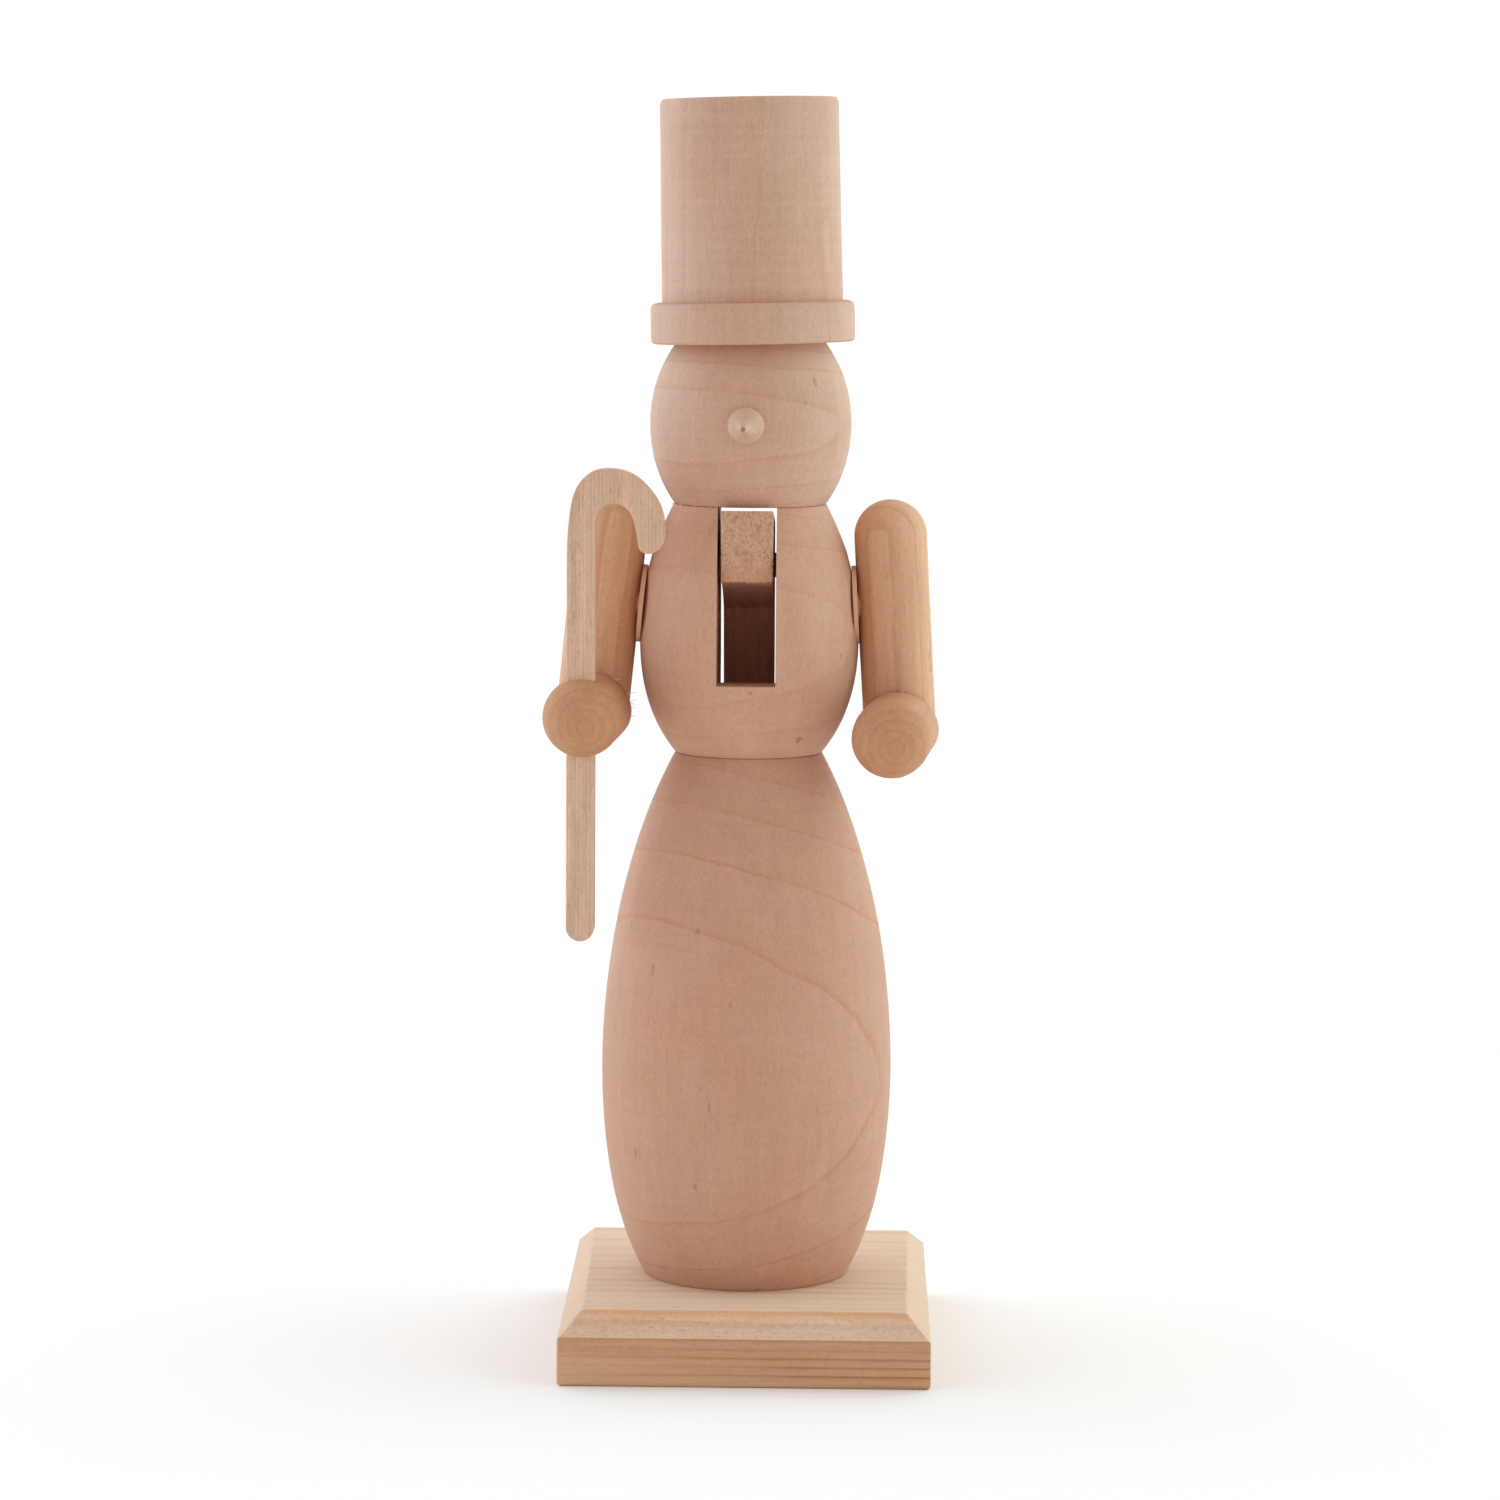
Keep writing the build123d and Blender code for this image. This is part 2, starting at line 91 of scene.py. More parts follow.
class SnowmanSizes(bpy.types.PropertyGroup):
    """Sizes that the pieces are cut and turned to."""

    turning_segments: IntProperty(name="Turning segments", default=160, min=24,
                                  description="Flats round each turned piece")
    turning_step: length("Turning step", "Height between the rings of a turned piece", 0.9)
    rim_round: length("Rim round", "Sanded round on the lower body's foot", 0.3)
    joint_round: length("Joint round", "Sanded round where two turned pieces meet", 0.3)
    turning_wander: length("Turning wander", "How far a turned side strays from true", 0.06)
    hat_x: length("Hat offset", "How far the hat's foot stands to the right", 0.35)
    hat_lean: angle("Hat lean", "How far the hat leans towards the cane", 1.3)
    board_front_bevel: length("Front bevel", "Width of the bevel along the board's front", 4.5)
    board_bevel: length("Side bevel", "Width of the side bevels at the board's front", 5.0)
    board_back_bevel: length("Back bevel", "Width of the bevel along the board's back", 3.4)
    board_ease: length("Board ease", "Chamfer round the board's underside", 0.5)
    board_edge: length("Board edge", "Round left on the board's edges", 0.35)
    slot_width: length("Slot width", "Width of the slot through the torso", 11.8)
    slot_x: length("Slot offset", "How far the slot stands off the middle", -0.3)
    slot_floor: length("Slot floor", "Height of the slot's floor at the front", 137.1)
    slot_flat_back: length("Slot flat", "Where the slot's floor starts to fall", -12.0)
    slot_back: length("Slot back", "Where the slot's floor is lowest", 16.0)
    slot_back_floor: length("Slot back floor", "Height of the slot's floor at the back", 124.0)
    pin_height: length("Pin height", "Height of the lever's cross pin", 160.0)
    pin_radius: length("Pin radius", "Radius of the lever's cross pin", 2.5)
    pin_clearance: length("Pin clearance", "Room round the pin in the lever", 0.08)
    shoulder_height: length("Shoulder height", "Height of the shoulder spacers", 152.1)
    spacer_thickness: length("Spacer thickness", "Thickness of the shoulder spacers", 0.9)
    seat_radius: length("Seat radius", "Radius of the torso's seats for the spacers", 8.0)
    upper_arm_radius: length("Upper arm radius", "Radius of the upper arm dowels", 7.35)
    upper_arm_length: length("Upper arm length", "Elbow to the top of the shoulder", 46.4)
    forearm_radius: length("Forearm radius", "Radius of the forearm dowels", 7.95)
    forearm_length: length("Forearm length", "Elbow to the middle of the ball hand", 21.5)
    mitre_edge: length("Mitre edge", "Round on the rims of the elbow mitres", 0.25)
    lever_edge: length("Lever edge", "Round on the lever's long edges", 0.3)
    cane_width: length("Cane width", "Width of the cane's shaft", 5.65)
    cane_edge: length("Cane edge", "Round on the cane's edges", 0.4)
    saw_depth: length("Saw depth", "Depth of the saw's tears in the jaw's front", 0.3)


class SnowmanWoods(bpy.types.PropertyGroup):
    """Colours of the bare woods."""

    turned: colour("Turned wood", "Pink wood of the lower body", 0.570, 0.324, 0.216)
    torso: colour("Torso wood", "Pink wood of the torso", 0.625, 0.365, 0.246)
    # Painted light: this colour is made paler than the body's wood to stand in for the stronger light from
    # above on the head, nose and hat.
    turned_toplit: colour("Pale turned wood", "Paler wood of the head, nose and hat", 0.625, 0.402, 0.292)
    turned_line: colour("Turned ring line", "Growth ring line in the turned wood", 0.500, 0.215, 0.105)
    arm: colour("Arm wood", "Wood of the arms and spacers", 0.720, 0.420, 0.254)
    arm_line: colour("Arm ring line", "Growth ring line in the arms", 0.500, 0.225, 0.105)
    hand: colour("Hand wood", "End grain of the ball hands", 0.560, 0.280, 0.148)
    hand_line: colour("Hand ring", "Growth rings on the ball hands", 0.430, 0.195, 0.090)
    cane: colour("Cane wood", "Wood of the cane", 0.735, 0.490, 0.345)
    cane_line: colour("Cane grain line", "Dark lines along the cane", 0.500, 0.310, 0.200)
    lever: colour("Lever wood", "Wood of the jaw lever's sides", 0.700, 0.410, 0.300)
    lever_line: colour("Lever ring line", "Growth ring line in the lever", 0.430, 0.200, 0.120)
    jaw: colour("Jaw front", "End grain of the jaw's sawn front", 0.710, 0.410, 0.280)
    board: colour("Board early wood", "Pale early wood of the board", 0.760, 0.545, 0.390)
    board_line: colour("Board late wood", "Orange late wood of the board", 0.600, 0.270, 0.110)
    fibre: colour("Loose fibre", "Torn fibres at the joints", 0.930, 0.820, 0.680)
    steel: colour("Screw steel", "Zinc plate on the screw", 0.560, 0.570, 0.590)


class SnowmanStudio(bpy.types.PropertyGroup):
    """The camera, the floor and the lights."""

    lens: FloatProperty(name="Lens", description="Focal length", default=114.1, unit="CAMERA")
    camera_distance: length("Camera distance", "Camera to the figure's axis", 963.0)
    camera_height: length("Camera height", "Camera above the floor", 228.5)
    camera_shift: length("Camera shift", "How far to the right of the axis the camera aims", 0.3)
    camera_turn: angle("Camera turn", "How far round to the right the camera stands", 0.97)
    camera_tilt: angle("Camera tilt", "How far the camera looks down", 6.30)
    camera_roll: angle("Camera roll", "How far the camera is tipped to its left", 0.40)
    backdrop_colour: glow("Backdrop", "Pale paper behind everything", 1.0, 1.0, 1.0)
    floor_colour: colour("Floor", "Pale floor", 0.960, 0.930, 0.900)
    room_all: glow("Room", "Light from all round", 0.560, 0.450, 0.385)
    room_back: glow("Back", "Light from the backdrop", 0.520, 0.610, 0.680)
    room_left: glow("Left panel", "Light from the left", 0.740, 1.130, 1.430)
    room_right: glow("Right panel", "Light from the right", 0.860, 1.330, 1.480)
    room_top: glow("Top panel", "Light from above", 0.060, 0.060, 0.060)


# ---------------------------------------------------------------- shader helpers

class Nodes:
    """A node tree under construction: short calls that add nodes and join them."""

    def __init__(self, tree):
        self.tree = tree
        self.column = 0

    def add(self, kind, **settings):
        node = self.tree.nodes.new(kind)
        self.column += 1
        node.location = (-220 * (self.column % 12) - 300, 180 * (self.column // 12))
        for key, value in settings.items():
            setattr(node, key, value)
        return node

    def join(self, source, socket):
        """Joins a socket to another, or sets it to a number or a vector."""
        if isinstance(source, bpy.types.NodeSocket):
            self.tree.links.new(source, socket)
        else:
            socket.default_value = source

    def sum(self, operation, first, second=0.0, third=0.0):
        node = self.add("ShaderNodeMath", operation=operation)
        for source, socket in zip((first, second, third), node.inputs):
            self.join(source, socket)
        return node.outputs[0]

    def times(self, first, second):
        return self.sum("MULTIPLY", first, second)

    def vector(self, operation, first, second=(0, 0, 0)):
        node = self.add("ShaderNodeVectorMath", operation=operation)
        self.join(first, node.inputs[0])
        self.join(second, node.inputs[1])
        return node.outputs["Value" if operation in ("LENGTH", "DOT_PRODUCT") else "Vector"]

    def scale(self, tint, factor):
        """A colour made lighter or darker by a factor."""
        node = self.add("ShaderNodeVectorMath", operation="SCALE")
        self.join(tint, node.inputs[0])
        self.join(factor, node.inputs["Scale"])
        return node.outputs["Vector"]

    def remap(self, value, low, high, new_low=0.0, new_high=1.0, smooth=True):
        node = self.add("ShaderNodeMapRange", interpolation_type="SMOOTHSTEP" if smooth else "LINEAR")
        self.join(value, node.inputs["Value"])
        for key, number in (("From Min", low), ("From Max", high), ("To Min", new_low), ("To Max", new_high)):
            node.inputs[key].default_value = number
        return node.outputs[0]

    def swing(self, value, low, high, width):
        """A factor that runs evenly from 1 - width to 1 + width as the value runs from low to high."""
        return self.remap(value, low, high, 1.0 - width, 1.0 + width, smooth=False)


class Finish(Nodes):
    """A material under construction."""

    def __init__(self, name):
        self.material = bpy.data.materials.new(name)
        self.material.use_nodes = True
        super().__init__(self.material.node_tree)
        self.shader = self.tree.nodes["Principled BSDF"]

    def place(self, location=(0, 0, 0), rotation=(0, 0, 0)):
        """The object's own coordinates seen from a frame, such as the wood's grain."""
        node = self.add("ShaderNodeMapping", vector_type="TEXTURE")
        self.join(self.add("ShaderNodeTexCoord").outputs["Object"], node.inputs["Vector"])
        node.inputs["Location"].default_value = location
        node.inputs["Rotation"].default_value = rotation
        return node.outputs[0]

    def noise(self, vector, scale, detail=2.0, roughness=0.5, stretch=(1, 1, 1)):
        node = self.add("ShaderNodeTexNoise")
        self.join(self.vector("MULTIPLY", vector, stretch), node.inputs["Vector"])
        node.inputs["Scale"].default_value = scale
        node.inputs["Detail"].default_value = detail
        node.inputs["Roughness"].default_value = roughness
        return node.outputs["Fac"]

    def blend(self, factor, first, second, kind="MIX"):
        node = self.add("ShaderNodeMix", data_type="RGBA", blend_type=kind, clamp_factor=True)
        self.join(factor, node.inputs["Factor"])
        for source, socket in ((first, node.inputs[6]), (second, node.inputs[7])):
            self.join(source if isinstance(source, bpy.types.NodeSocket) else (*source[:3], 1.0), socket)
        return node.outputs[2]

    def stain(self, tint, mask, strength, colour):
        """The tint with a colour laid over it where the mask is, at most at the given strength."""
        return self.blend(self.times(mask, strength), tint, colour)

    def finish(self, tint, roughness, height, bump_strength, bump_distance):
        """Joins the colour, the roughness and the bump to the shader."""
        bump = self.add("ShaderNodeBump")
        bump.inputs["Strength"].default_value = bump_strength
        bump.inputs["Distance"].default_value = bump_distance
        self.join(height, bump.inputs["Height"])
        self.join(bump.outputs[0], self.shader.inputs["Normal"])
        self.join(tint, self.shader.inputs["Base Color"])
        self.join(roughness, self.shader.inputs["Roughness"])
        self.shader.inputs["Specular IOR Level"].default_value = 0.32
        self.material.diffuse_color = (0.6, 0.4, 0.28, 1.0)
        return self.material


class Grain:
    """How a wood lies in a piece, and how strongly each of its marks shows."""

    def __init__(self, pith=(0, 0, 0), turn=(0, 0, 0), spacing=3.5, start=0.0, line=0.6, line_width=0.03,
                 wobble=0.25, late=0.10, streak=0.035, pore=0.15, lathe=0.5, mottle=0.5, bump=0.35):
        self.pith = [value * MM for value in pith]
        self.turn = [math.radians(value) for value in turn]
        self.spacing = spacing * MM
        self.start = start * MM
        self.line = line
        self.line_width = line_width
        self.wobble = wobble * MM
        self.late = late
        self.streak = streak
        self.pore = pore
        self.lathe = lathe
        self.mottle = mottle
        self.bump = bump


def wood(name, pale, line, grain):
    """Bare wood, sanded after turning or cutting."""
    f = Finish(name)
    return f.finish(*wood_marks(f, pale, line, grain), grain.bump, 0.18 * MM)


def specked_wood(name, pale, line, grain, place, core, reach):
    """Bare wood with one brown speck at a place: dark within its core, gone at its reach."""
    f = Finish(name)
    tint, rough, height = wood_marks(f, pale, line, grain)
    away = f.vector("LENGTH", f.vector("SUBTRACT", f.place(), place))
    away = f.sum("MULTIPLY_ADD", f.noise(f.place(), 900.0, 2.0), reach, away)
    tint = f.blend(f.remap(away, core, reach, 0.85, 0.0), tint, shade(line, 0.75, 0.75, 0.75))
    return f.finish(tint, rough, height, grain.bump, 0.18 * MM)


def wood_marks(f, pale, line, grain):
    """The tint, roughness and height of bare wood.

    It has rings about a pith, fine streaks along the grain, pores and soft mottling.
    """
    along = f.place(grain.pith, grain.turn)

    # Growth rings, with fainter lines between them.
    reach = f.sum("SUBTRACT", pith_distance(f, along, 0.6, 60.0, 4.0, 3 * grain.wobble), grain.start)
    rings = f.sum("DIVIDE", reach, grain.spacing)
    ring_line = thin_lines(f, rings, grain.line_width, 0.4)
    faint = thin_lines(f, f.times(rings, 4.0), 0.12, 0.0)
    ring_line = f.times(ring_line, f.remap(f.noise(along, 110.0, 3.0), 0.34, 0.62, 0.45, 1.0))
    late = f.times(f.sum("POWER", f.sum("FRACT", rings), 2.0), grain.late)

    # Fine marks: streaks and short pores along the grain, and an even fuzz.
    streak = f.noise(along, 1700.0, 3.0, 0.6, (1, 1, 0.08))
    broad = f.noise(along, 420.0, 2.0, 0.5, (1, 1, 0.06))
    pore = f.remap(f.noise(along, 2400.0, 1.0, 0.5, (1, 1, 0.14)), 0.64, 0.74)
    fuzz = f.noise(along, 2100.0, 3.0, 0.65, (1, 1, 0.6))
    mottle = f.noise(along, 75.0, 4.0, 0.6, (1, 1, 0.7))
    blush = f.noise(along, 34.0, 2.0, 0.5, (1, 1, 0.8))
    spot = f.remap(f.noise(along, 520.0, 0.0, 0.5, (1, 1, 0.6)), 0.865, 0.89)

    tint = f.blend(f.remap(mottle, 0.3, 0.7, 0.0, grain.mottle), pale, shade(pale, 0.94, 0.89, 0.86))
    tint = f.blend(f.remap(blush, 0.42, 0.70, 0.0, 0.5), tint, shade(pale, 1.02, 0.90, 0.86))
    tint = f.blend(late, tint, line)
    tint = f.stain(tint, faint, grain.line * 0.16, line)
    tint = f.stain(tint, ring_line, grain.line, line)
    depth = f.times(f.swing(streak, 0.25, 0.75, grain.streak), f.swing(broad, 0.3, 0.7, grain.streak * 0.8))
    depth = f.times(depth, f.swing(fuzz, 0.3, 0.7, 0.08))
    tint = f.stain(f.scale(tint, depth), pore, grain.pore, shade(line, 0.7, 0.6, 0.6))
    tint = f.stain(tint, spot, 0.40, shade(line, 0.6, 0.6, 0.6))

    # Faint rings that the turning tool leaves round the piece.
    tool = f.noise(f.place(), 800.0, 2.0, 0.5, (0.02, 0.02, 1.0))
    tint = f.scale(tint, f.swing(tool, 0.3, 0.7, 0.03 * grain.lathe))

    # Convex rims made a little paler.
    edge = f.add("ShaderNodeNewGeometry").outputs["Pointiness"]
    tint = f.blend(f.remap(edge, 0.53, 0.62, 0.0, 0.35), tint, shade(pale, 1.12, 1.16, 1.2))

    height = f.sum("MULTIPLY_ADD", streak, 0.45, f.times(fuzz, 0.75))
    height = f.sum("MULTIPLY_ADD", tool, 0.5 * grain.lathe, height)
    height = f.sum("MULTIPLY_ADD", pore, -0.5, height)
    height = f.sum("MULTIPLY_ADD", ring_line, 0.25, height)
    rough = f.remap(fuzz, 0.3, 0.7, 0.64, 0.82, smooth=False)
    return tint, rough, height


def pith_distance(f, along, stretch, scale, detail, wander):
    """Distance from the pith, wandering a little along and round the trunk."""
    drift = f.add("ShaderNodeTexNoise")
    f.join(f.vector("MULTIPLY", along, (1, 1, stretch)), drift.inputs["Vector"])
    drift.inputs["Scale"].default_value = scale
    drift.inputs["Detail"].default_value = detail
    offset = f.vector("SUBTRACT", drift.outputs["Color"], (0.5, 0.5, 0.5))
    offset = f.vector("MULTIPLY", offset, (wander, wander, 0))
    return f.vector("LENGTH", f.vector("MULTIPLY", f.vector("ADD", along, offset), (1, 1, 0)))


def ring_lines(f, rings, rise, drop, least):
    """A line at each whole ring, each of its own strength: it rises and drops over parts of a ring."""
    phase = f.sum("FRACT", rings)
    chance = f.add("ShaderNodeTexWhiteNoise", noise_dimensions="1D")
    f.join(f.sum("FLOOR", rings), chance.inputs["W"])
    strength = f.remap(chance.outputs["Value"], 0.0, 1.0, least, 1.0, smooth=False)
    return f.times(f.times(f.remap(phase, *rise), f.remap(phase, *drop, 1.0, 0.0)), strength)


def thin_lines(f, rings, width, least):
    """Ring lines that are thin, soft inside and sharp outside."""
    return ring_lines(f, rings, (1.0 - 3.0 * width, 1.0 - width * 0.4), (1.0 - width * 0.35, 1.0), least)


def shade(tint, red, green, blue):
    """A colour made lighter or darker by a factor for each of red, green and blue."""
    return [min(1.0, part * factor) for part, factor in zip(tint, (red, green, blue))]


# ---------------------------------------------------------------- mesh helpers

def settings():
    """The three groups of properties."""
    scene = bpy.context.scene
    return scene.snowman_sizes, scene.snowman_woods, scene.snowman_studio


def new_object(name, bm):
    """A mesh object made from a bmesh and linked to the scene."""
    mesh = bpy.data.meshes.new(name)
    bm.to_mesh(mesh)
    bm.free()
    obj = bpy.data.objects.new(name, mesh)
    bpy.context.scene.collection.objects.link(obj)
    return obj


def keep(name, bm, material, body, nodes=(), smooth_angle=SMOOTH_ANGLE):
    """Turns a bmesh into a piece that rides on a body and stands for its CAD nodes."""
    bmesh.ops.recalc_face_normals(bm, faces=bm.faces)
    obj = new_object(name, bm)
    obj.data.materials.append(material)
    soften(obj, smooth_angle)
    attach(obj, body)
    if nodes:
        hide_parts(*nodes)
    return obj


def soften(obj, smooth_angle=SMOOTH_ANGLE):
    """Shades a piece smoothly, apart from its sharp edges."""
    obj.data.shade_smooth()
    obj.data.set_sharp_from_angle(angle=math.radians(smooth_angle))


def carve(obj, *cutters):
    """Cuts the cutters out of a piece and removes them."""
    for cutter in cutters:
        cut = obj.modifiers.new("cut", "BOOLEAN")
        cut.object = cutter
        cut.operation = "DIFFERENCE"
        cut.solver = "EXACT"
    bpy.context.view_layer.update()
    result = obj.evaluated_get(bpy.context.evaluated_depsgraph_get())
    mesh = bpy.data.meshes.new_from_object(result)
    mesh.name = obj.name
    obj.modifiers.clear()
    old = obj.data
    obj.data = mesh
    bpy.data.meshes.remove(old)
    for cutter in cutters:
        mesh = cutter.data
        bpy.data.objects.remove(cutter)
        bpy.data.meshes.remove(mesh)
    soften(obj)


def cutter(name, bm):
    """A loose object to cut with."""
    bmesh.ops.recalc_face_normals(bm, faces=bm.faces)
    return new_object(name, bm)


def skin(bm, rings, tip=None):
    """Walls between each ring of corners and the next, a cap on the first, and a cap or a tip on the last."""
    count = len(rings[0])
    for one, two in zip(rings, rings[1:]):
        for i in range(count):
            j = (i + 1) % count
            bm.faces.new((one[i], one[j], two[j], two[i]))
    bm.faces.new(list(reversed(rings[0])))
    if tip is None:
        bm.faces.new(rings[-1])
        return
    for i in range(count):
        bm.faces.new((rings[-1][i], rings[-1][(i + 1) % count], tip))


def slice_off(bm, place, out):
    """Cuts a closed shape along a plane, takes off the side that out points to, and closes the cut."""
    geometry = bm.verts[:] + bm.edges[:] + bm.faces[:]
    cut = bmesh.ops.bisect_plane(bm, geom=geometry, plane_co=place, plane_no=out, clear_outer=True)
    rim = [e for e in cut["geom_cut"] if isinstance(e, bmesh.types.BMEdge)]
    if rim:
        bmesh.ops.holes_fill(bm, edges=rim)


def at_angle(radius, a, z):
    """The point at a radius, an angle round Z and a height."""
    return Vector((radius * math.cos(a), radius * math.sin(a), z))


def prism(outline, low, high, axis):
    """A closed prism: an outline of (a, b) points, run from low to high along an axis.

    Along X the outline is in (y, z), and along Y it is in (x, z).
    """
    bm = bmesh.new()
    ends = []
    for reach in (low, high):
        if axis == "X":
            ring = [bm.verts.new((reach, a, b)) for a, b in outline]
        else:
            ring = [bm.verts.new((a, reach, b)) for a, b in outline]
        ends.append(ring)
    skin(bm, ends)
    return bm


def upper_hull(points):
    """The outer side of a turned shape: the convex upper hull of (height, radius) points."""
    hull = []
    for point in sorted(points):
        while len(hull) > 1:
            (x0, y0), (x1, y1) = hull[-2], hull[-1]
            if (x1 - x0) * (point[1] - y0) >= (y1 - y0) * (point[0] - x0):
                hull.pop()
            else:
                break
        hull.append(point)
    return hull


def turned_side(node, to_local, step):
    """The (radius, height) side of a turned CAD node, evenly spaced and smoothed."""
    widest = {}
    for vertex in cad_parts[node].data.vertices:
        p = to_local @ vertex.co
        z = round(p.z, 5)
        widest[z] = max(widest.get(z, 0.0), math.hypot(p.x, p.y))
    hull = upper_hull(widest.items())
    low, high = hull[0][0], hull[-1][0]
    count = max(4, round((high - low) / step))
    side = []
    place = 0
    for i in range(count + 1):
        z = low + (high - low) * i / count
        while place < len(hull) - 2 and hull[place + 1][0] < z:
            place += 1
        (z0, r0), (z1, r1) = hull[place], hull[place + 1]
        share = 0.0 if z1 == z0 else (z - z0) / (z1 - z0)
        side.append([r0 + (r1 - r0) * share, z])
    for _ in range(3):
        radii = [r for r, _ in side]
        for i in range(2, count - 1):
            side[i][0] = (radii[i - 1] + 2 * radii[i] + radii[i + 1]) / 4
    return side


def round_rims(side, low_size, high_size):
    """The same side with both rims rounded over."""
    def corner(end, inward, size):
        (r0, z0), (r1, z1) = end, inward
        along = Vector((r1 - r0, z1 - z0)).normalized()
        start = Vector((r0, z0)) + along * size
        face = Vector((r0 - size, z0))
        points = []
        for i in range(5):
            t = i / 4
            point = start * (1 - t) ** 2 + Vector((r0, z0)) * 2 * t * (1 - t) + face * t ** 2
            points.append((point.x, point.y))
        return points

    low, high = side[0][1] + 1.5 * low_size, side[-1][1] - 1.5 * high_size
    middle = [p for p in side if low < p[1] < high]
    foot = corner(side[0], side[1], low_size)
    top = corner(side[-1], side[-2], high_size)
    return list(reversed(foot)) + middle + top


def lathe(side, segments, place=None, wander=0.0, seed=0.0):
    """A closed solid turned about Z from (radius, height) points, then put in place."""
    place = place or Matrix.Identity(4)
    bm = bmesh.new()
    rings = []
    for radius, z in side:
        ring = []
        for step in range(segments):
            a = 2 * PI * step / segments
            stray = noise.noise(at_angle(1.6, a, 70 * z + seed))
            ring.append(bm.verts.new(place @ at_angle(radius + wander * stray, a, z)))
        rings.append(ring)
    skin(bm, rings)
    return bm


def turning(sizes, node, foot_round, top_round, seed):
    """An upright turned CAD node made again, its rims rounded and its side straying from true."""
    side = round_rims(turned_side(node, Matrix.Identity(4), sizes.turning_step), foot_round, top_round)
    return lathe(side, sizes.turning_segments, wander=sizes.turning_wander, seed=seed)


def rod_along_x(radius, half_length, z, segments=64):
    """A plain rod along X, to cut holes with."""
    place = Matrix.Translation((0, 0, z)) @ Matrix.Rotation(PI / 2, 4, "Y")
    return lathe([(radius, -half_length), (radius, half_length)], segments, place)


def flat_outline(node, axis, step):
    """The outer outline of a flat-cut CAD node, as evenly spaced (a, b) points.

    It is read from the triangles that lie in the node's highest face along the axis.
    """
    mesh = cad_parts[node].data
    axes = [i for i in range(3) if i != axis]
    top = max(v.co[axis] for v in mesh.vertices)
    keys = {}
    edges = {}
    for polygon in mesh.polygons:
        corners = [mesh.vertices[i].co for i in polygon.vertices]
        if any(abs(c[axis] - top) > 1e-6 for c in corners):
            continue
        names = [tuple(round(c[i], 7) for i in axes) for c in corners]
        for a, b in zip(names, names[1:] + names[:1]):
            pair = frozenset((a, b))
            edges[pair] = edges.get(pair, 0) + 1
    for pair, uses in edges.items():
        if uses == 1:
            a, b = tuple(pair)
            keys.setdefault(a, []).append(b)
            keys.setdefault(b, []).append(a)
    loops = []
    left = set(keys)
    while left:
        start = min(left)
        loop = [start]
        left.discard(start)
        while True:
            onward = [p for p in keys[loop[-1]] if p in left]
            if not onward:
                break
            loop.append(onward[0])
            left.discard(onward[0])
        loops.append(loop)
    outer = max(loops, key=lambda loop: max(p[1] for p in loop) - min(p[1] for p in loop))
    area = sum(a[0] * b[1] - b[0] * a[1] for a, b in zip(outer, outer[1:] + outer[:1]))
    if area < 0:
        outer.reverse()
    return spaced(outer, step)


def spaced(loop, step):
    """A closed loop with its long runs divided, keeping every corner."""
    points = []
    for a, b in zip(loop, loop[1:] + loop[:1]):
        run = math.dist(a, b)
        parts = max(1, round(run / step))
        for i in range(parts):
            t = i / parts
            points.append((a[0] + (b[0] - a[0]) * t, a[1] + (b[1] - a[1]) * t))
    return points


def plank(outline, low, high, axis, edge, stations, shape=None):
    """A flat-cut piece with softened edges: rings of the outline laid across its thickness.

    shape, if given, moves each point of the wall: it takes and returns a vector.
    """
    count = len(outline)
    normals = []
    for i in range(count):
        before, after = Vector(outline[i - 1]), Vector(outline[(i + 1) % count])
        along = (after - before).normalized()
        normals.append(Vector((-along.y, along.x)))
    reach = [(0.0, 1.0), (0.3, 0.3), (1.0, 0.0)]
    across = [(low + edge * t, edge * inset) for t, inset in reach]
    inner = stations - 1
    across += [(low + edge + (high - low - 2 * edge) * i / inner, 0.0) for i in range(1, inner)]
    across += [(high - edge * t, edge * inset) for t, inset in reversed(reach)]
    bm = bmesh.new()
    rings = []
    for place, inset in across:
        ring = []
        for point, normal in zip(outline, normals):
            a, b = Vector(point) + normal * inset
            co = Vector((place, a, b)) if axis == "X" else Vector((a, place, b))
            ring.append(bm.verts.new(shape(co) if shape else co))
        rings.append(ring)
    skin(bm, rings)
    return bm


def mitred_dowel(radius, reach, mitre, place, edge, seed, segments=96):
    """A dowel from a 45 degree mitre at the origin to a round end, along Z.

    mitre is the height of the cut at local +Y, over the radius: 1 or -1.
    """
    bm = bmesh.new()
    rings = []

    def ring(radial, height, lean):
        verts = []
        for step in range(segments):
            a = 2 * PI * step / segments
            stray = 0.05 * MM * noise.noise(at_angle(2, a, 90 * height + seed))
            z = height + lean * radius * math.sin(a) * mitre
            verts.append(bm.verts.new(place @ at_angle(radial + stray, a, z)))
        rings.append(verts)

    for t, inset in ((0.0, 1.0), (0.3, 0.3), (1.0, 0.0)):
        ring(radius - edge * inset, edge * t, 1.0)
    count = 26
    for i in range(1, count + 1):
        t = i / count
        ring(radius, edge + (reach - edge) * t, 1.0 - t)
    for i in range(1, 14):
        a = PI / 2 * i / 14
        ring(radius * math.cos(a), reach + radius * math.sin(a), 0.0)
    skin(bm, rings, bm.verts.new(place @ Vector((0, 0, reach + radius))))
    return bm


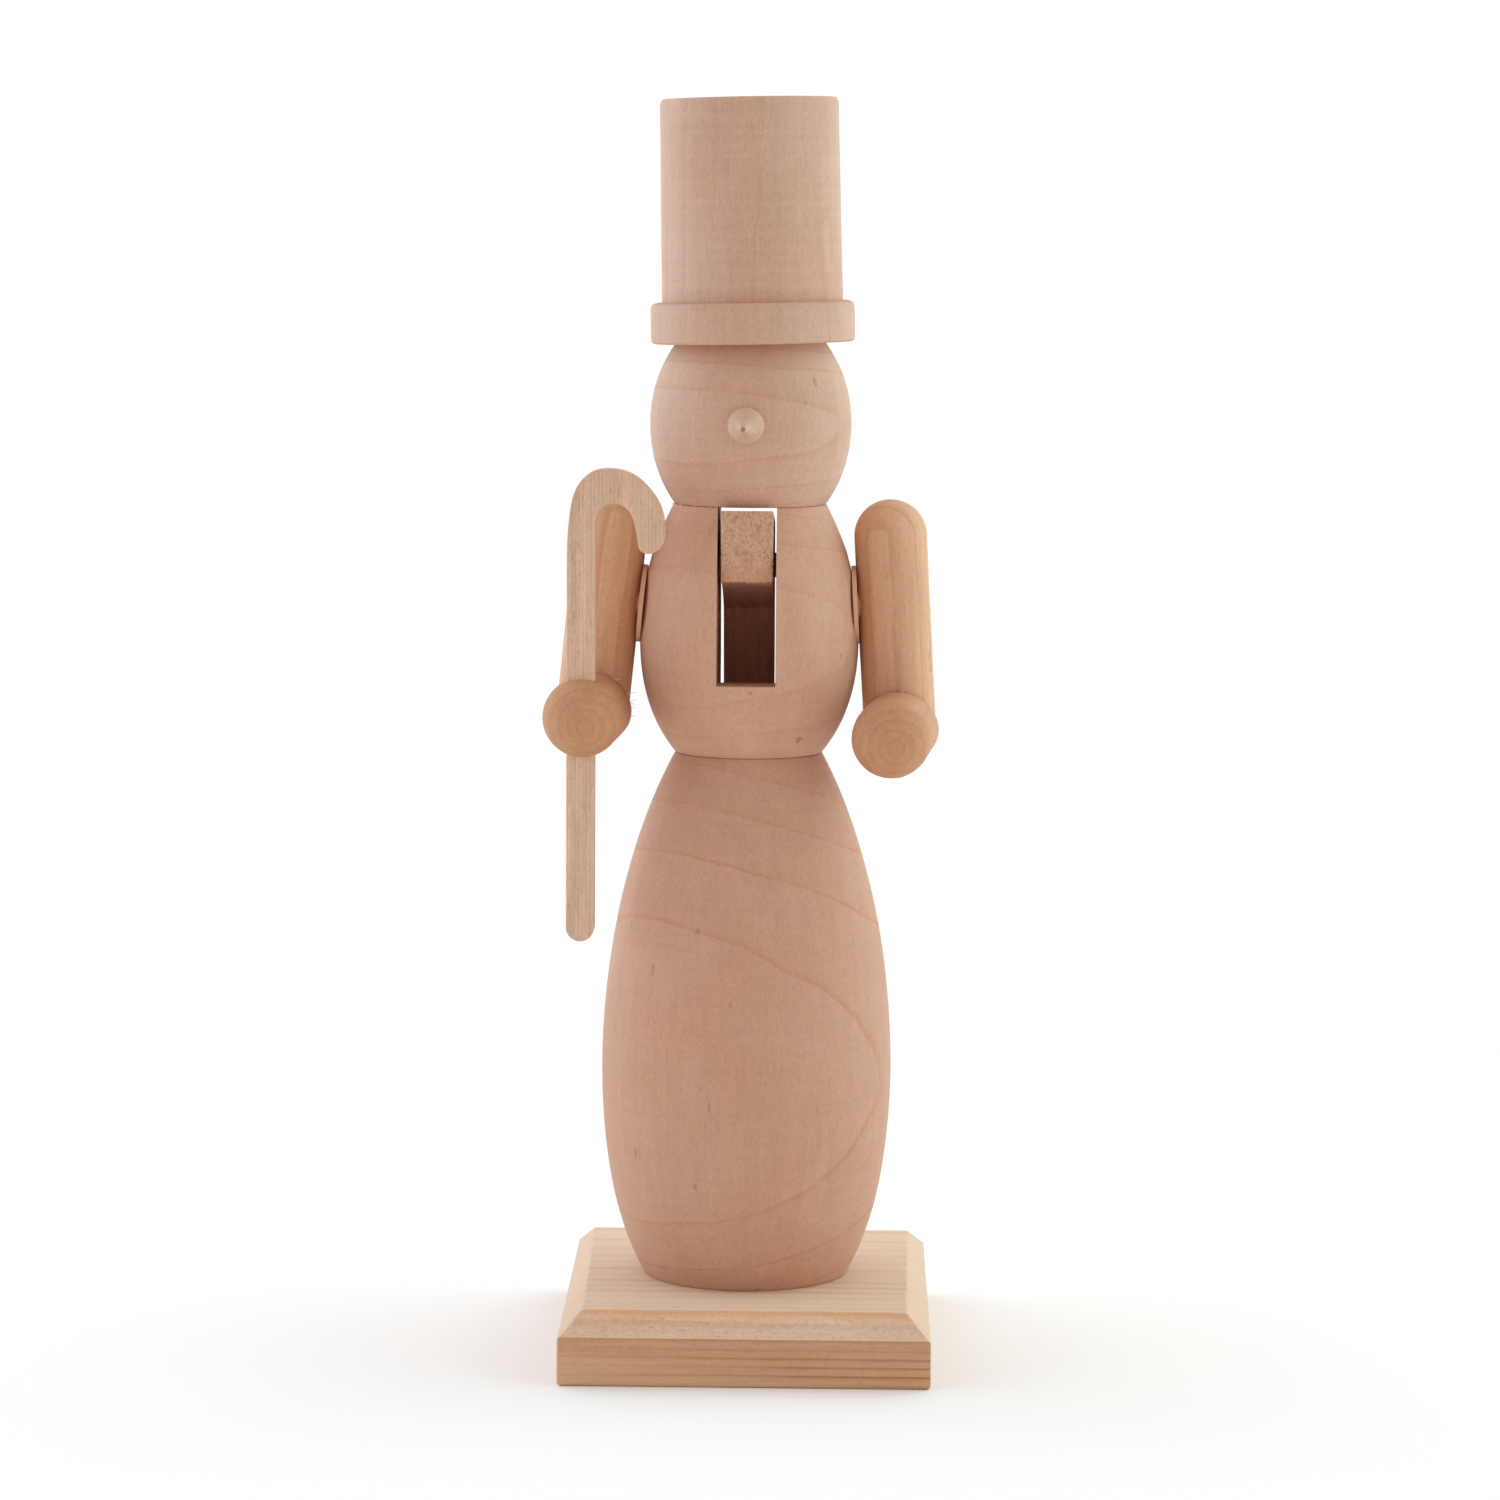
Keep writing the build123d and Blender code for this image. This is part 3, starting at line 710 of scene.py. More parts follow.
def fibres(name, sites, body, material, seed, long, thick):
    """Loose fibres: thin tapered slivers that stand off each (point, direction) site.

    One that would reach past the figure's own width is left out.
    """
    dice = random.Random(seed)
    boxes = [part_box(node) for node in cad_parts]
    leftmost = min(lo.x for lo, _ in boxes) + 0.3 * MM
    rightmost = max(hi.x for _, hi in boxes) - 0.3 * MM
    bm = bmesh.new()
    for point, out in sites:
        size = long * MM * dice.uniform(0.35, 1.0)
        wide = thick * MM * dice.uniform(0.6, 1.3)
        out = Vector(out).normalized()
        stray = Vector([dice.uniform(-1, 1) for _ in range(3)])
        side = out.cross(stray).normalized()
        other = out.cross(side).normalized()
        bend = side * size * dice.uniform(-0.5, 0.5)
        lean = stray * size * 0.45
        end = Vector(point) + (out * size + lean) + bend
        if not leftmost < end.x < rightmost:
            continue
        rings = []
        for t, taper in ((0.0, 1.0), (0.45, 0.8), (0.8, 0.45)):
            centre = Vector(point) - out * 0.1 * MM + (out * size + lean) * t + bend * t * t
            ring = []
            for corner in range(3):
                a = 2 * PI * corner / 3
                ring.append(bm.verts.new(centre + (side * math.cos(a) + other * math.sin(a)) * wide * taper))
            rings.append(ring)
        skin(bm, rings, bm.verts.new(end))
    keep(name, bm, material, body)


# ---------------------------------------------------------------- frames of the pieces

def hat_frame():
    """The hat's own frame: its origin on the head's top, its axis leaning to the left."""
    sizes = settings()[0]
    lo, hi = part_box("hat_brim")
    rise = math.sin(sizes.hat_lean) * (hi.x - lo.x) / 2
    foot = Vector((sizes.hat_x, 0, lo.z + rise))
    return Matrix.Translation(foot) @ Matrix.Rotation(-sizes.hat_lean, 4, "Y")


ARMS = {
    "left": {"elbow": (-31.75, 0.0, 130.7), "splay": 5.6, "yaw": -2.8, "side": -1},
    "right": {"elbow": (30.75, 0.0, 127.2), "splay": -3.3, "yaw": -5.2, "side": 1},
}


def arm_frame(arm):
    """The frame of an arm: upper arm along +Z, forearm along -Y, elbow at the origin."""
    place = Matrix.Translation(Vector(arm["elbow"]) * MM)
    splay = Matrix.Rotation(math.radians(arm["splay"]), 4, "Y")
    return place @ splay @ Matrix.Rotation(math.radians(arm["yaw"]), 4, "Z")


def spacer_frame(sizes, arm):
    """The frame of a shoulder spacer: its origin touches the arm, and +Z points away from it."""
    splay = math.radians(arm["splay"])
    axis_x = arm["elbow"][0] * MM + (sizes.shoulder_height - arm["elbow"][2] * MM) * math.tan(splay)
    inner_x = axis_x - arm["side"] * sizes.upper_arm_radius / math.cos(splay)
    place = Matrix.Translation((inner_x, 0, sizes.shoulder_height)) @ Matrix.Rotation(splay, 4, "Y")
    return place @ Matrix.Rotation(-arm["side"] * PI / 2, 4, "Y")


def grain_turn(matrix):
    """A frame's rotation in degrees, for a Grain."""
    return [math.degrees(a) for a in matrix.to_euler("XYZ")]


# ---------------------------------------------------------------- operators

class SnowmanBoard(bpy.types.Operator):
    """Cut the bevelled board that the figure stands on."""

    bl_idname = "snowman.board"
    bl_label = "Board"

    def execute(self, context):
        sizes, woods, _ = settings()
        lo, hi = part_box("base_board")
        bm = bmesh.new()
        rings = []
        for z, inset in ((lo.z, sizes.board_ease), (lo.z + sizes.board_ease, 0.0), (hi.z, 0.0)):
            x0, x1, y0, y1 = lo.x + inset, hi.x - inset, lo.y + inset, hi.y - inset
            corners = ((x0, y0), (x1, y0), (x1, y1), (x0, y1))
            rings.append([bm.verts.new((x, y, z)) for x, y in corners])
        skin(bm, rings)
        front, back = sizes.board_bevel, sizes.board_back_bevel
        middle = (front + back) / 2
        taper = (front - back) / (hi.y - lo.y)
        bevels = [
            ((lo.x, 0, hi.z - middle), (-1, -taper, 1)),
            ((hi.x, 0, hi.z - middle), (1, -taper, 1)),
            ((0, lo.y, hi.z - sizes.board_front_bevel), (0, -1, 1)),
            ((0, hi.y, hi.z - back), (0, 1, 1)),
        ]
        for place, out in bevels:
            slice_off(bm, place, out)
        bmesh.ops.bevel(bm, geom=bm.edges[:], offset=sizes.board_edge, segments=3, profile=0.6,
                        affect="EDGES", clamp_overlap=True)
        keep("board", bm, board_wood(woods), FIGURE, ["base_board"], smooth_angle=25.0)
        return {"FINISHED"}


# Where the board's trunk had its pith: behind the board and far below it, in metres.
BOARD_PITH = (0.0, 0.084, -0.2815)


def board_wood(woods):
    """Softwood with orange late wood lines along X, grey end grain, and fuzz on the bevels; painted light on
    the top and painted shade on the upright faces.
    """
    f = Finish("board_wood")
    pale, line = woods.board, woods.board_line
    along = f.place(BOARD_PITH, (0.0, PI / 2, 0.0))
    rings = f.sum("DIVIDE", pith_distance(f, along, 0.22, 70.0, 3.0, 1.3 * MM), 1.63 * MM)
    late = ring_lines(f, rings, (0.55, 0.90), (0.93, 1.0), 0.20)
    late = f.times(late, f.remap(f.noise(along, 160.0, 3.0, 0.6, (1, 1, 0.12)), 0.32, 0.60, 0.35, 1.0))

    streak = f.noise(along, 1300.0, 3.0, 0.6, (1, 1, 0.05))
    broad = f.noise(along, 330.0, 2.0, 0.5, (1, 1, 0.04))
    mottle = f.noise(along, 60.0, 3.0, 0.5, (1, 1, 0.35))
    fuzz = f.noise(along, 1500.0, 3.0, 0.65)
    pore = f.remap(f.noise(along, 2000.0, 1.0, 0.5, (1, 1, 0.25)), 0.66, 0.74)

    tint = f.blend(f.remap(mottle, 0.3, 0.7, 0.0, 0.6), pale, shade(pale, 0.95, 0.86, 0.80))
    tint = f.blend(late, tint, line)
    depth = f.times(f.swing(streak, 0.25, 0.75, 0.10), f.swing(broad, 0.3, 0.7, 0.06))
    tint = f.scale(tint, f.times(depth, f.swing(fuzz, 0.3, 0.7, 0.06)))

    # The face's own direction tells the ends, the front and the bevels apart, and paints light on the top and
    # shade on the upright faces.
    geometry = f.add("ShaderNodeNewGeometry")
    normal = geometry.outputs["True Normal"]
    ends = f.sum("ABSOLUTE", f.vector("DOT_PRODUCT", normal, (1, 0, 0)))
    upward = f.vector("DOT_PRODUCT", normal, (0, 0, 1))
    bevel = f.times(f.remap(upward, 0.35, 0.6), f.remap(upward, 0.8, 0.95, 1.0, 0.0))
    upright = f.remap(upward, 0.1, 0.4, 1.0, 0.0)
    # Painted light: the top is made paler and cooler, as if lit from above.
    tint = f.stain(tint, f.remap(upward, 0.85, 0.97), 0.55, shade(pale, 0.97, 1.02, 1.06))
    # Painted shade: the upright and downward faces, front and ends, are darkened.
    tint = f.blend(upright, tint, (0.74, 0.58, 0.46), "MULTIPLY")
    tint = f.stain(tint, bevel, 0.45, shade(pale, 0.88, 0.78, 0.74))
    nap = f.swing(f.noise(along, 1100.0, 4.0, 0.7), 0.35, 0.65, 0.09)
    tint = f.stain(tint, bevel, 0.9, f.scale(tint, nap))
    tint = f.blend(f.remap(ends, 0.35, 0.85, 0.0, 0.35), tint, (0.72, 0.58, 0.46))
    tint = f.stain(tint, pore, 0.35, shade(line, 0.55, 0.5, 0.5))

    # One late wood band runs out along the front bevel's upper edge.
    split = f.add("ShaderNodeSeparateXYZ")
    f.join(f.place(), split.inputs[0])
    ragged = f.noise(f.place(), 130.0, 4.0, 0.6, (0.35, 1.0, 1.0))
    rim = f.sum("MULTIPLY_ADD", ragged, 2.6 * MM, split.outputs["Y"])
    band = f.times(f.remap(rim, -38.8 * MM, -37.5 * MM), f.remap(rim, -37.3 * MM, -36.2 * MM, 1.0, 0.0))
    tint = f.stain(tint, f.times(band, f.remap(upward, 0.5, 0.65)), 0.60, shade(line, 1.15, 1.15, 1.0))

    edge = geometry.outputs["Pointiness"]
    tint = f.blend(f.remap(edge, 0.52, 0.60, 0.0, 0.35), tint, shade(pale, 1.05, 1.02, 0.95))

    height = f.sum("MULTIPLY_ADD", streak, 0.4, f.times(fuzz, 0.6))
    height = f.sum("MULTIPLY_ADD", f.times(bevel, fuzz), 1.1, height)
    height = f.sum("MULTIPLY_ADD", late, 0.5, height)
    rough = f.remap(late, 0.0, 1.0, 0.78, 0.62, smooth=False)
    return f.finish(tint, rough, height, bump_strength=0.6, bump_distance=0.2 * MM)


class SnowmanLowerBody(bpy.types.Operator):
    """Turn the big barrel of the lower body."""

    bl_idname = "snowman.lower_body"
    bl_label = "Lower Body"

    def execute(self, context):
        sizes, woods, _ = settings()
        grain = Grain(pith=(1.9, 1.4, 0), spacing=3.5, start=0.6, line=0.60, line_width=0.028, wobble=0.22)
        bm = turning(sizes, "lower_body", sizes.rim_round, sizes.joint_round, seed=3.0)
        material = wood("lower_body_wood", woods.turned, woods.turned_line, grain)
        keep("lower_body_turning", bm, material, FIGURE, ["lower_body"])
        return {"FINISHED"}


class SnowmanTorso(bpy.types.Operator):
    """Turn the torso and cut its slot, its pin hole and the seats for the arms."""

    bl_idname = "snowman.torso"
    bl_label = "Torso"

    def execute(self, context):
        sizes, woods, _ = settings()
        grain = Grain(pith=(0.9, 0.7, 0), spacing=2.6, start=0.9, line=0.16, line_width=0.05, mottle=0.8)
        bm = turning(sizes, "torso", sizes.joint_round, sizes.joint_round, seed=11.0)
        knot = Vector((10.2, -14.3, 126.0)) * MM
        material = specked_wood("torso_wood", woods.torso, woods.turned_line, grain, knot,
                                core=1.35 * MM, reach=2.1 * MM)
        obj = keep("torso_turning", bm, material, FIGURE, ["torso"])
        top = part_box("torso")[1].z + 1 * MM
        far = 40 * MM
        outline = [
            (-far, sizes.slot_floor),
            (sizes.slot_flat_back, sizes.slot_floor),
            (sizes.slot_back, sizes.slot_back_floor),
            (far, sizes.slot_back_floor),
            (far, top),
            (-far, top),
        ]
        half = sizes.slot_width / 2
        cuts = [cutter("slot_cut", prism(outline, sizes.slot_x - half, sizes.slot_x + half, "X"))]
        cuts.append(cutter("pin_cut", rod_along_x(sizes.pin_radius, far, sizes.pin_height, segments=48)))
        for arm in ARMS.values():
            seat = lathe([(sizes.seat_radius, -far), (sizes.seat_radius, sizes.spacer_thickness)],
                         segments=72, place=spacer_frame(sizes, arm))
            cuts.append(cutter("seat_cut", seat))
        carve(obj, *cuts)
        return {"FINISHED"}


class SnowmanHead(bpy.types.Operator):
    """Turn the head and its nose."""

    bl_idname = "snowman.head"
    bl_label = "Head and Nose"

    def execute(self, context):
        sizes, woods, _ = settings()
        grain = Grain(pith=(0.5, 0.4, 0), spacing=2.0, start=0.1, line=0.24, line_width=0.06, wobble=0.14,
                      late=0.12, mottle=0.8)
        bm = turning(sizes, "head", sizes.joint_round, top_round=0.2 * MM, seed=23.0)
        seat = hat_frame()
        slice_off(bm, seat.translation, seat.to_3x3() @ Vector((0, 0, 1)))
        # The head takes the paler colour that stands in for light from above: painted light.
        material = wood("head_wood", woods.turned_toplit, woods.turned_line, grain)
        keep("head_turning", bm, material, FIGURE, ["head"])

        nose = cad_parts["nose"]
        nose.data.materials.clear()
        grain = Grain(pith=(1.2, 0, 188.0), turn=(90, 0, 0), spacing=1.1, line=0.25, lathe=0.0)
        tip = Vector((-1.1, -27.05, 188.55)) * MM
        # The nose takes the same paler colour: painted light from above.
        material = specked_wood("nose_wood", woods.turned_toplit, woods.turned_line, grain, tip,
                                core=0.8 * MM, reach=1.4 * MM)
        nose.data.materials.append(material)
        return {"FINISHED"}


class SnowmanHat(bpy.types.Operator):
    """Turn the hat's brim and crown on their leaning axis."""

    bl_idname = "snowman.hat"
    bl_label = "Hat"

    def execute(self, context):
        sizes, woods, _ = settings()
        place = hat_frame()
        back = place.inverted()
        looks = {
            "hat_brim": Grain(pith=(14.0, 26.0, 0), turn=(2, -3, 0), spacing=5.0, line=0.15, wobble=0.8),
            "hat_crown": Grain(pith=(-6.0, 9.0, 0), turn=(1.0, -1.5, 0), spacing=4.4, line=0.16, wobble=0.9,
                               lathe=0.9, mottle=0.8),
        }
        for seed, (node, grain) in enumerate(looks.items()):
            side = turned_side(node, back, 0.35 * MM if node == "hat_brim" else sizes.turning_step)
            if node == "hat_crown":
                side = round_rims(side, low_size=0.04 * MM, high_size=0.15 * MM)
            bm = lathe(side, sizes.turning_segments, place, sizes.turning_wander, seed=31.0 + seed)
            # The hat takes the same paler colour: painted light from above.
            material = wood(node + "_wood", woods.turned_toplit, woods.turned_line, grain)
            keep(node + "_turning", bm, material, FIGURE, [node])
        return {"FINISHED"}


class SnowmanLever(bpy.types.Operator):
    """Cut the jaw lever, tear its sawn front and bore it for the pin."""

    bl_idname = "snowman.lever"
    bl_label = "Jaw Lever"

    def execute(self, context):
        sizes, woods, _ = settings()
        lo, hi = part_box("jaw_lever")
        outline = flat_outline("jaw_lever", axis=0, step=0.45 * MM)
        front = lo.y

        def torn(co):
            """Tears the sawn front inwards, most of all along its lower edge."""
            if co.y > front + 0.5 * MM or co.z < 150 * MM:
                return co
            pits = noise.noise(Vector((co.x * 1500, 4.0, co.z * 620)))
            coarse = noise.noise(Vector((co.x * 500 + 7, 1.0, co.z * 300)))
            depth = max(0.0, 0.45 + 0.9 * pits + 0.5 * coarse)
            return co + Vector((0, min(1.0, depth) * sizes.saw_depth, 0))

        bm = plank(outline, lo.x, hi.x, "X", sizes.lever_edge, stations=26, shape=torn)
        obj = keep("jaw_lever_board", bm, lever_wood(woods, front), LEVER, ["jaw_lever"],
                   smooth_angle=40.0)
        bore = rod_along_x(sizes.pin_radius + sizes.pin_clearance, half_length=20 * MM, z=sizes.pin_height)
        carve(obj, cutter("bore_cut", bore))
        return {"FINISHED"}


def lever_wood(woods, front):
    """The lever's wood, with fuzzy end grain on its sawn front, painted shade and highlights on its tears,
    and a painted yellow highlight along its lower edge.
    """
    f = Finish("lever_wood")
    grain = Grain(pith=(-30.0, 20.0, 150.0), turn=(16.7, 0, 0), spacing=2.4, line=0.4, line_width=0.08,
                  wobble=0.5, late=0.2, streak=0.08, lathe=0.0)
    tint, rough, height = wood_marks(f, woods.lever, woods.lever_line, grain)
    here = f.place()
    split = f.add("ShaderNodeSeparateXYZ")
    f.join(here, split.inputs[0])
    sawn = f.remap(split.outputs["Y"], front + 0.35 * MM, front + 0.9 * MM, 1.0, 0.0)
    torn = f.noise(here, 1900.0, 4.0, 0.7, (1.3, 1.0, 0.8))
    coarse = f.noise(here, 420.0, 3.0, 0.6, (1.3, 1.0, 0.8))
    low = f.remap(split.outputs["Z"], 158.0 * MM, 162.5 * MM, 1.0, 0.0)
    jaw = woods.jaw
    # Painted shade in the tears' pits and painted highlights on their ridges, laid over the end grain's
    # colour.
    end = f.blend(f.remap(torn, 0.38, 0.58), shade(jaw, 0.76, 0.64, 0.56), shade(jaw, 1.12, 1.14, 1.12))
    # More painted highlights on the coarse ridges.
    end = f.blend(f.remap(coarse, 0.35, 0.7, 0.0, 0.4), end, shade(jaw, 1.15, 1.20, 1.20))
    # A painted yellow highlight along the jaw's lower edge.
    end = f.stain(end, low, 0.55, shade(jaw, 1.06, 0.90, 0.62))
    tint = f.blend(sawn, tint, end)
    rugged = f.sum("MULTIPLY_ADD", coarse, 2.5, f.times(torn, 3.0))
    height = f.sum("MULTIPLY_ADD", sawn, rugged, height)
    return f.finish(tint, rough, height, bump_strength=0.8, bump_distance=0.24 * MM)


class SnowmanArms(bpy.types.Operator):
    """Turn and mitre the two arms, and bore the left hand for the cane."""

    bl_idname = "snowman.arms"
    bl_label = "Arms"

    def execute(self, context):
        sizes, woods, _ = settings()
        for seed, (name, arm) in enumerate(ARMS.items()):
            place = arm_frame(arm)
            self.upper_arm(sizes, woods, name, arm, place, 41.0 + seed)
            self.forearm(sizes, woods, name, place, 51.0 + seed)
        return {"FINISHED"}

    def upper_arm(self, sizes, woods, name, arm, place, seed):
        """The upper arm, domed at the shoulder and mitred at the elbow."""
        radius = sizes.upper_arm_radius
        grain = Grain(pith=[v / MM for v in place @ Vector((6 * MM * arm["side"], 20 * MM, 0))],
                      turn=grain_turn(place), spacing=2.8, line=0.40, line_width=0.08, wobble=0.35, late=0.22,
                      streak=0.06, lathe=0.2)
        material = wood(name + "_upper_arm_wood", woods.arm, woods.arm_line, grain)
        bm = mitred_dowel(radius, sizes.upper_arm_length - radius, -1, place, sizes.mitre_edge, seed)
        keep(name + "_upper_arm_dowel", bm, material, FIGURE, [name + "_upper_arm"])

    def forearm(self, sizes, woods, name, place, seed):
        """The forearm, which points forward and ends in a ball."""
        turn = place @ Matrix.Rotation(PI / 2, 4, "X")
        grain = Grain(pith=[v / MM for v in turn @ Vector((1.5 * MM, -1.0 * MM, 0))], turn=grain_turn(turn),
                      spacing=1.9, line=0.20, line_width=0.12, wobble=0.45, late=0.28, streak=0.05, lathe=0.0)
        material = wood(name + "_forearm_wood", woods.hand, woods.hand_line, grain)
        bm = mitred_dowel(sizes.forearm_radius, sizes.forearm_length, 1, turn, sizes.mitre_edge, seed)
        obj = keep(name + "_forearm_dowel", bm, material, FIGURE, [name + "_forearm"])
        if name == "left":
            lo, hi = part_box("candy_cane")
            right = lo.x + sizes.cane_width
            below, above = 100 * MM, 160 * MM
            outline = [(lo.x, below), (right, below), (right, above), (lo.x, above)]
            carve(obj, cutter("cane_cut", prism(outline, lo.y, hi.y, "Y")))


class SnowmanShoulders(bpy.types.Operator):
    """Finish the spacers, the pin, the dowels and the screw, which keep their cut shapes."""

    bl_idname = "snowman.shoulders"
    bl_label = "Spacers, Pin and Dowels"

    def execute(self, context):
        _, woods, _ = settings()
        across = Grain(pith=(0, 2.0, 152.0), turn=(0, 90, 0), spacing=2.2, line=0.35, wobble=0.5, late=0.3,
                       lathe=0.0)
        upright = Grain(pith=(1.0, 2.0, 0), spacing=2.0, line=0.3, wobble=0.4, late=0.3, lathe=0.0)
        side_wood = wood("cross_dowel_wood", woods.arm, woods.arm_line, across)
        up_wood = wood("dowel_wood", woods.arm, woods.arm_line, upright)
        finishes = {"jaw_pin": side_wood, "waist_dowel": up_wood, "hat_dowel": up_wood,
                    "base_screw": plated_steel(woods)}
        for hand in ARMS:
            finishes[hand + "_shoulder_spacer"] = side_wood
            finishes[hand + "_shoulder_dowel"] = side_wood
            finishes[hand + "_neck_dowel"] = up_wood
        for node, material in finishes.items():
            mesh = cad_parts[node].data
            mesh.materials.clear()
            mesh.materials.append(material)
        return {"FINISHED"}


def plated_steel(woods):
    """Zinc plated steel with a faint turned brushing."""
    f = Finish("screw_steel")
    here = f.place()
    brush = f.noise(here, 2500.0, 2.0, 0.6, (1, 1, 0.1))
    cloud = f.noise(here, 300.0, 2.0)
    tint = f.blend(f.remap(cloud, 0.3, 0.7), woods.steel, [c * 0.8 for c in woods.steel])
    f.shader.inputs["Metallic"].default_value = 1.0
    return f.finish(tint, f.remap(brush, 0.3, 0.7, 0.28, 0.5), brush, 0.2, 0.05 * MM)


class SnowmanCane(bpy.types.Operator):
    """Cut the flat cane from its thin board."""

    bl_idname = "snowman.cane"
    bl_label = "Cane"

    def execute(self, context):
        sizes, woods, _ = settings()
        lo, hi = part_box("candy_cane")
        outline = flat_outline("candy_cane", axis=1, step=0.6 * MM)
        bm = plank(outline, lo.y, hi.y, "Y", sizes.cane_edge, stations=8)
        grain = Grain(pith=(-160.0, 20.0, 0), spacing=0.72, line=0.55, line_width=0.12,
                      wobble=0.12, late=0.20, streak=0.10, pore=0.35, lathe=0.0, bump=0.5)
        material = wood("cane_wood", woods.cane, woods.cane_line, grain)
        keep("candy_cane_board", bm, material, FIGURE, ["candy_cane"], smooth_angle=40.0)
        return {"FINISHED"}


class SnowmanFibres(bpy.types.Operator):
    """Scatter the torn fibres that raw joints and sawn edges keep."""

    bl_idname = "snowman.fibres"
    bl_label = "Loose Fibres"

    def execute(self, context):
        sizes, woods, _ = settings()
        grain = Grain(spacing=1.0, line=0.2, lathe=0.0)
        material = wood("fibre_wood", woods.fibre, woods.arm, grain)
        dice = random.Random(7)
        sites = []
        neck = (15.4 * MM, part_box("torso")[1].z)
        foot = (20.7 * MM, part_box("lower_body")[0].z)
        for (radius, z), count, lift in ((neck, 90, 0.1), (foot, 60, 0.2)):
            for _ in range(count):
                a = dice.uniform(0, 2 * PI)
                sites.append((at_angle(radius, a, z), at_angle(1, a, lift)))
        fibres("joint_fibres", sites, FIGURE, material, seed=5, long=0.9, thick=0.07)
        sites = []
        radius = sizes.upper_arm_radius
        for arm in ARMS.values():
            place = arm_frame(arm)
            for _ in range(70):
                a = dice.uniform(0, 2 * PI)
                out = place.to_3x3() @ at_angle(1, a, dice.uniform(-0.2, 0.8))
                sites.append((place @ at_angle(radius, a, -radius * math.sin(a)), out))
        fibres("mitre_fibres", sites, FIGURE, material, seed=9, long=2.4, thick=0.075)
        lo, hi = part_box("jaw_lever")
        left, right, front = lo.x + 0.2 * MM, hi.x - 0.2 * MM, lo.y + 0.35 * MM
        jaw_bottom, side_low, side_high = 157.95 * MM, 158.5 * MM, 171.5 * MM
        sites = []
        for _ in range(46):
            sites.append(((dice.uniform(left, right), front, jaw_bottom), (0, -0.5, -0.9)))
        for _ in range(40):
            z = dice.uniform(side_low, side_high)
            x = dice.choice((left, right))
            sites.append(((x, front, z), (0.6 * math.copysign(1, x), -0.6, 0.2)))
        fibres("jaw_fibres", sites, LEVER, material, seed=13, long=0.7, thick=0.04)
        return {"FINISHED"}


# Each panel of light: the way to it from the figure, and the cosines where it starts and is full.
# The first is full everywhere, because a cosine is never below -1.
PANELS = {
    "room_all": ((0, 0, 1), -3.0, -2.0),
    "room_back": ((0, 1, 0), -0.3, 0.6),
    "room_left": ((-1, 0.1, 0.15), 0.35, 0.95),
    "room_right": ((1, 0.1, 0.15), 0.35, 0.95),
    "room_top": ((0, 0.1, 1), 0.35, 0.95),
}


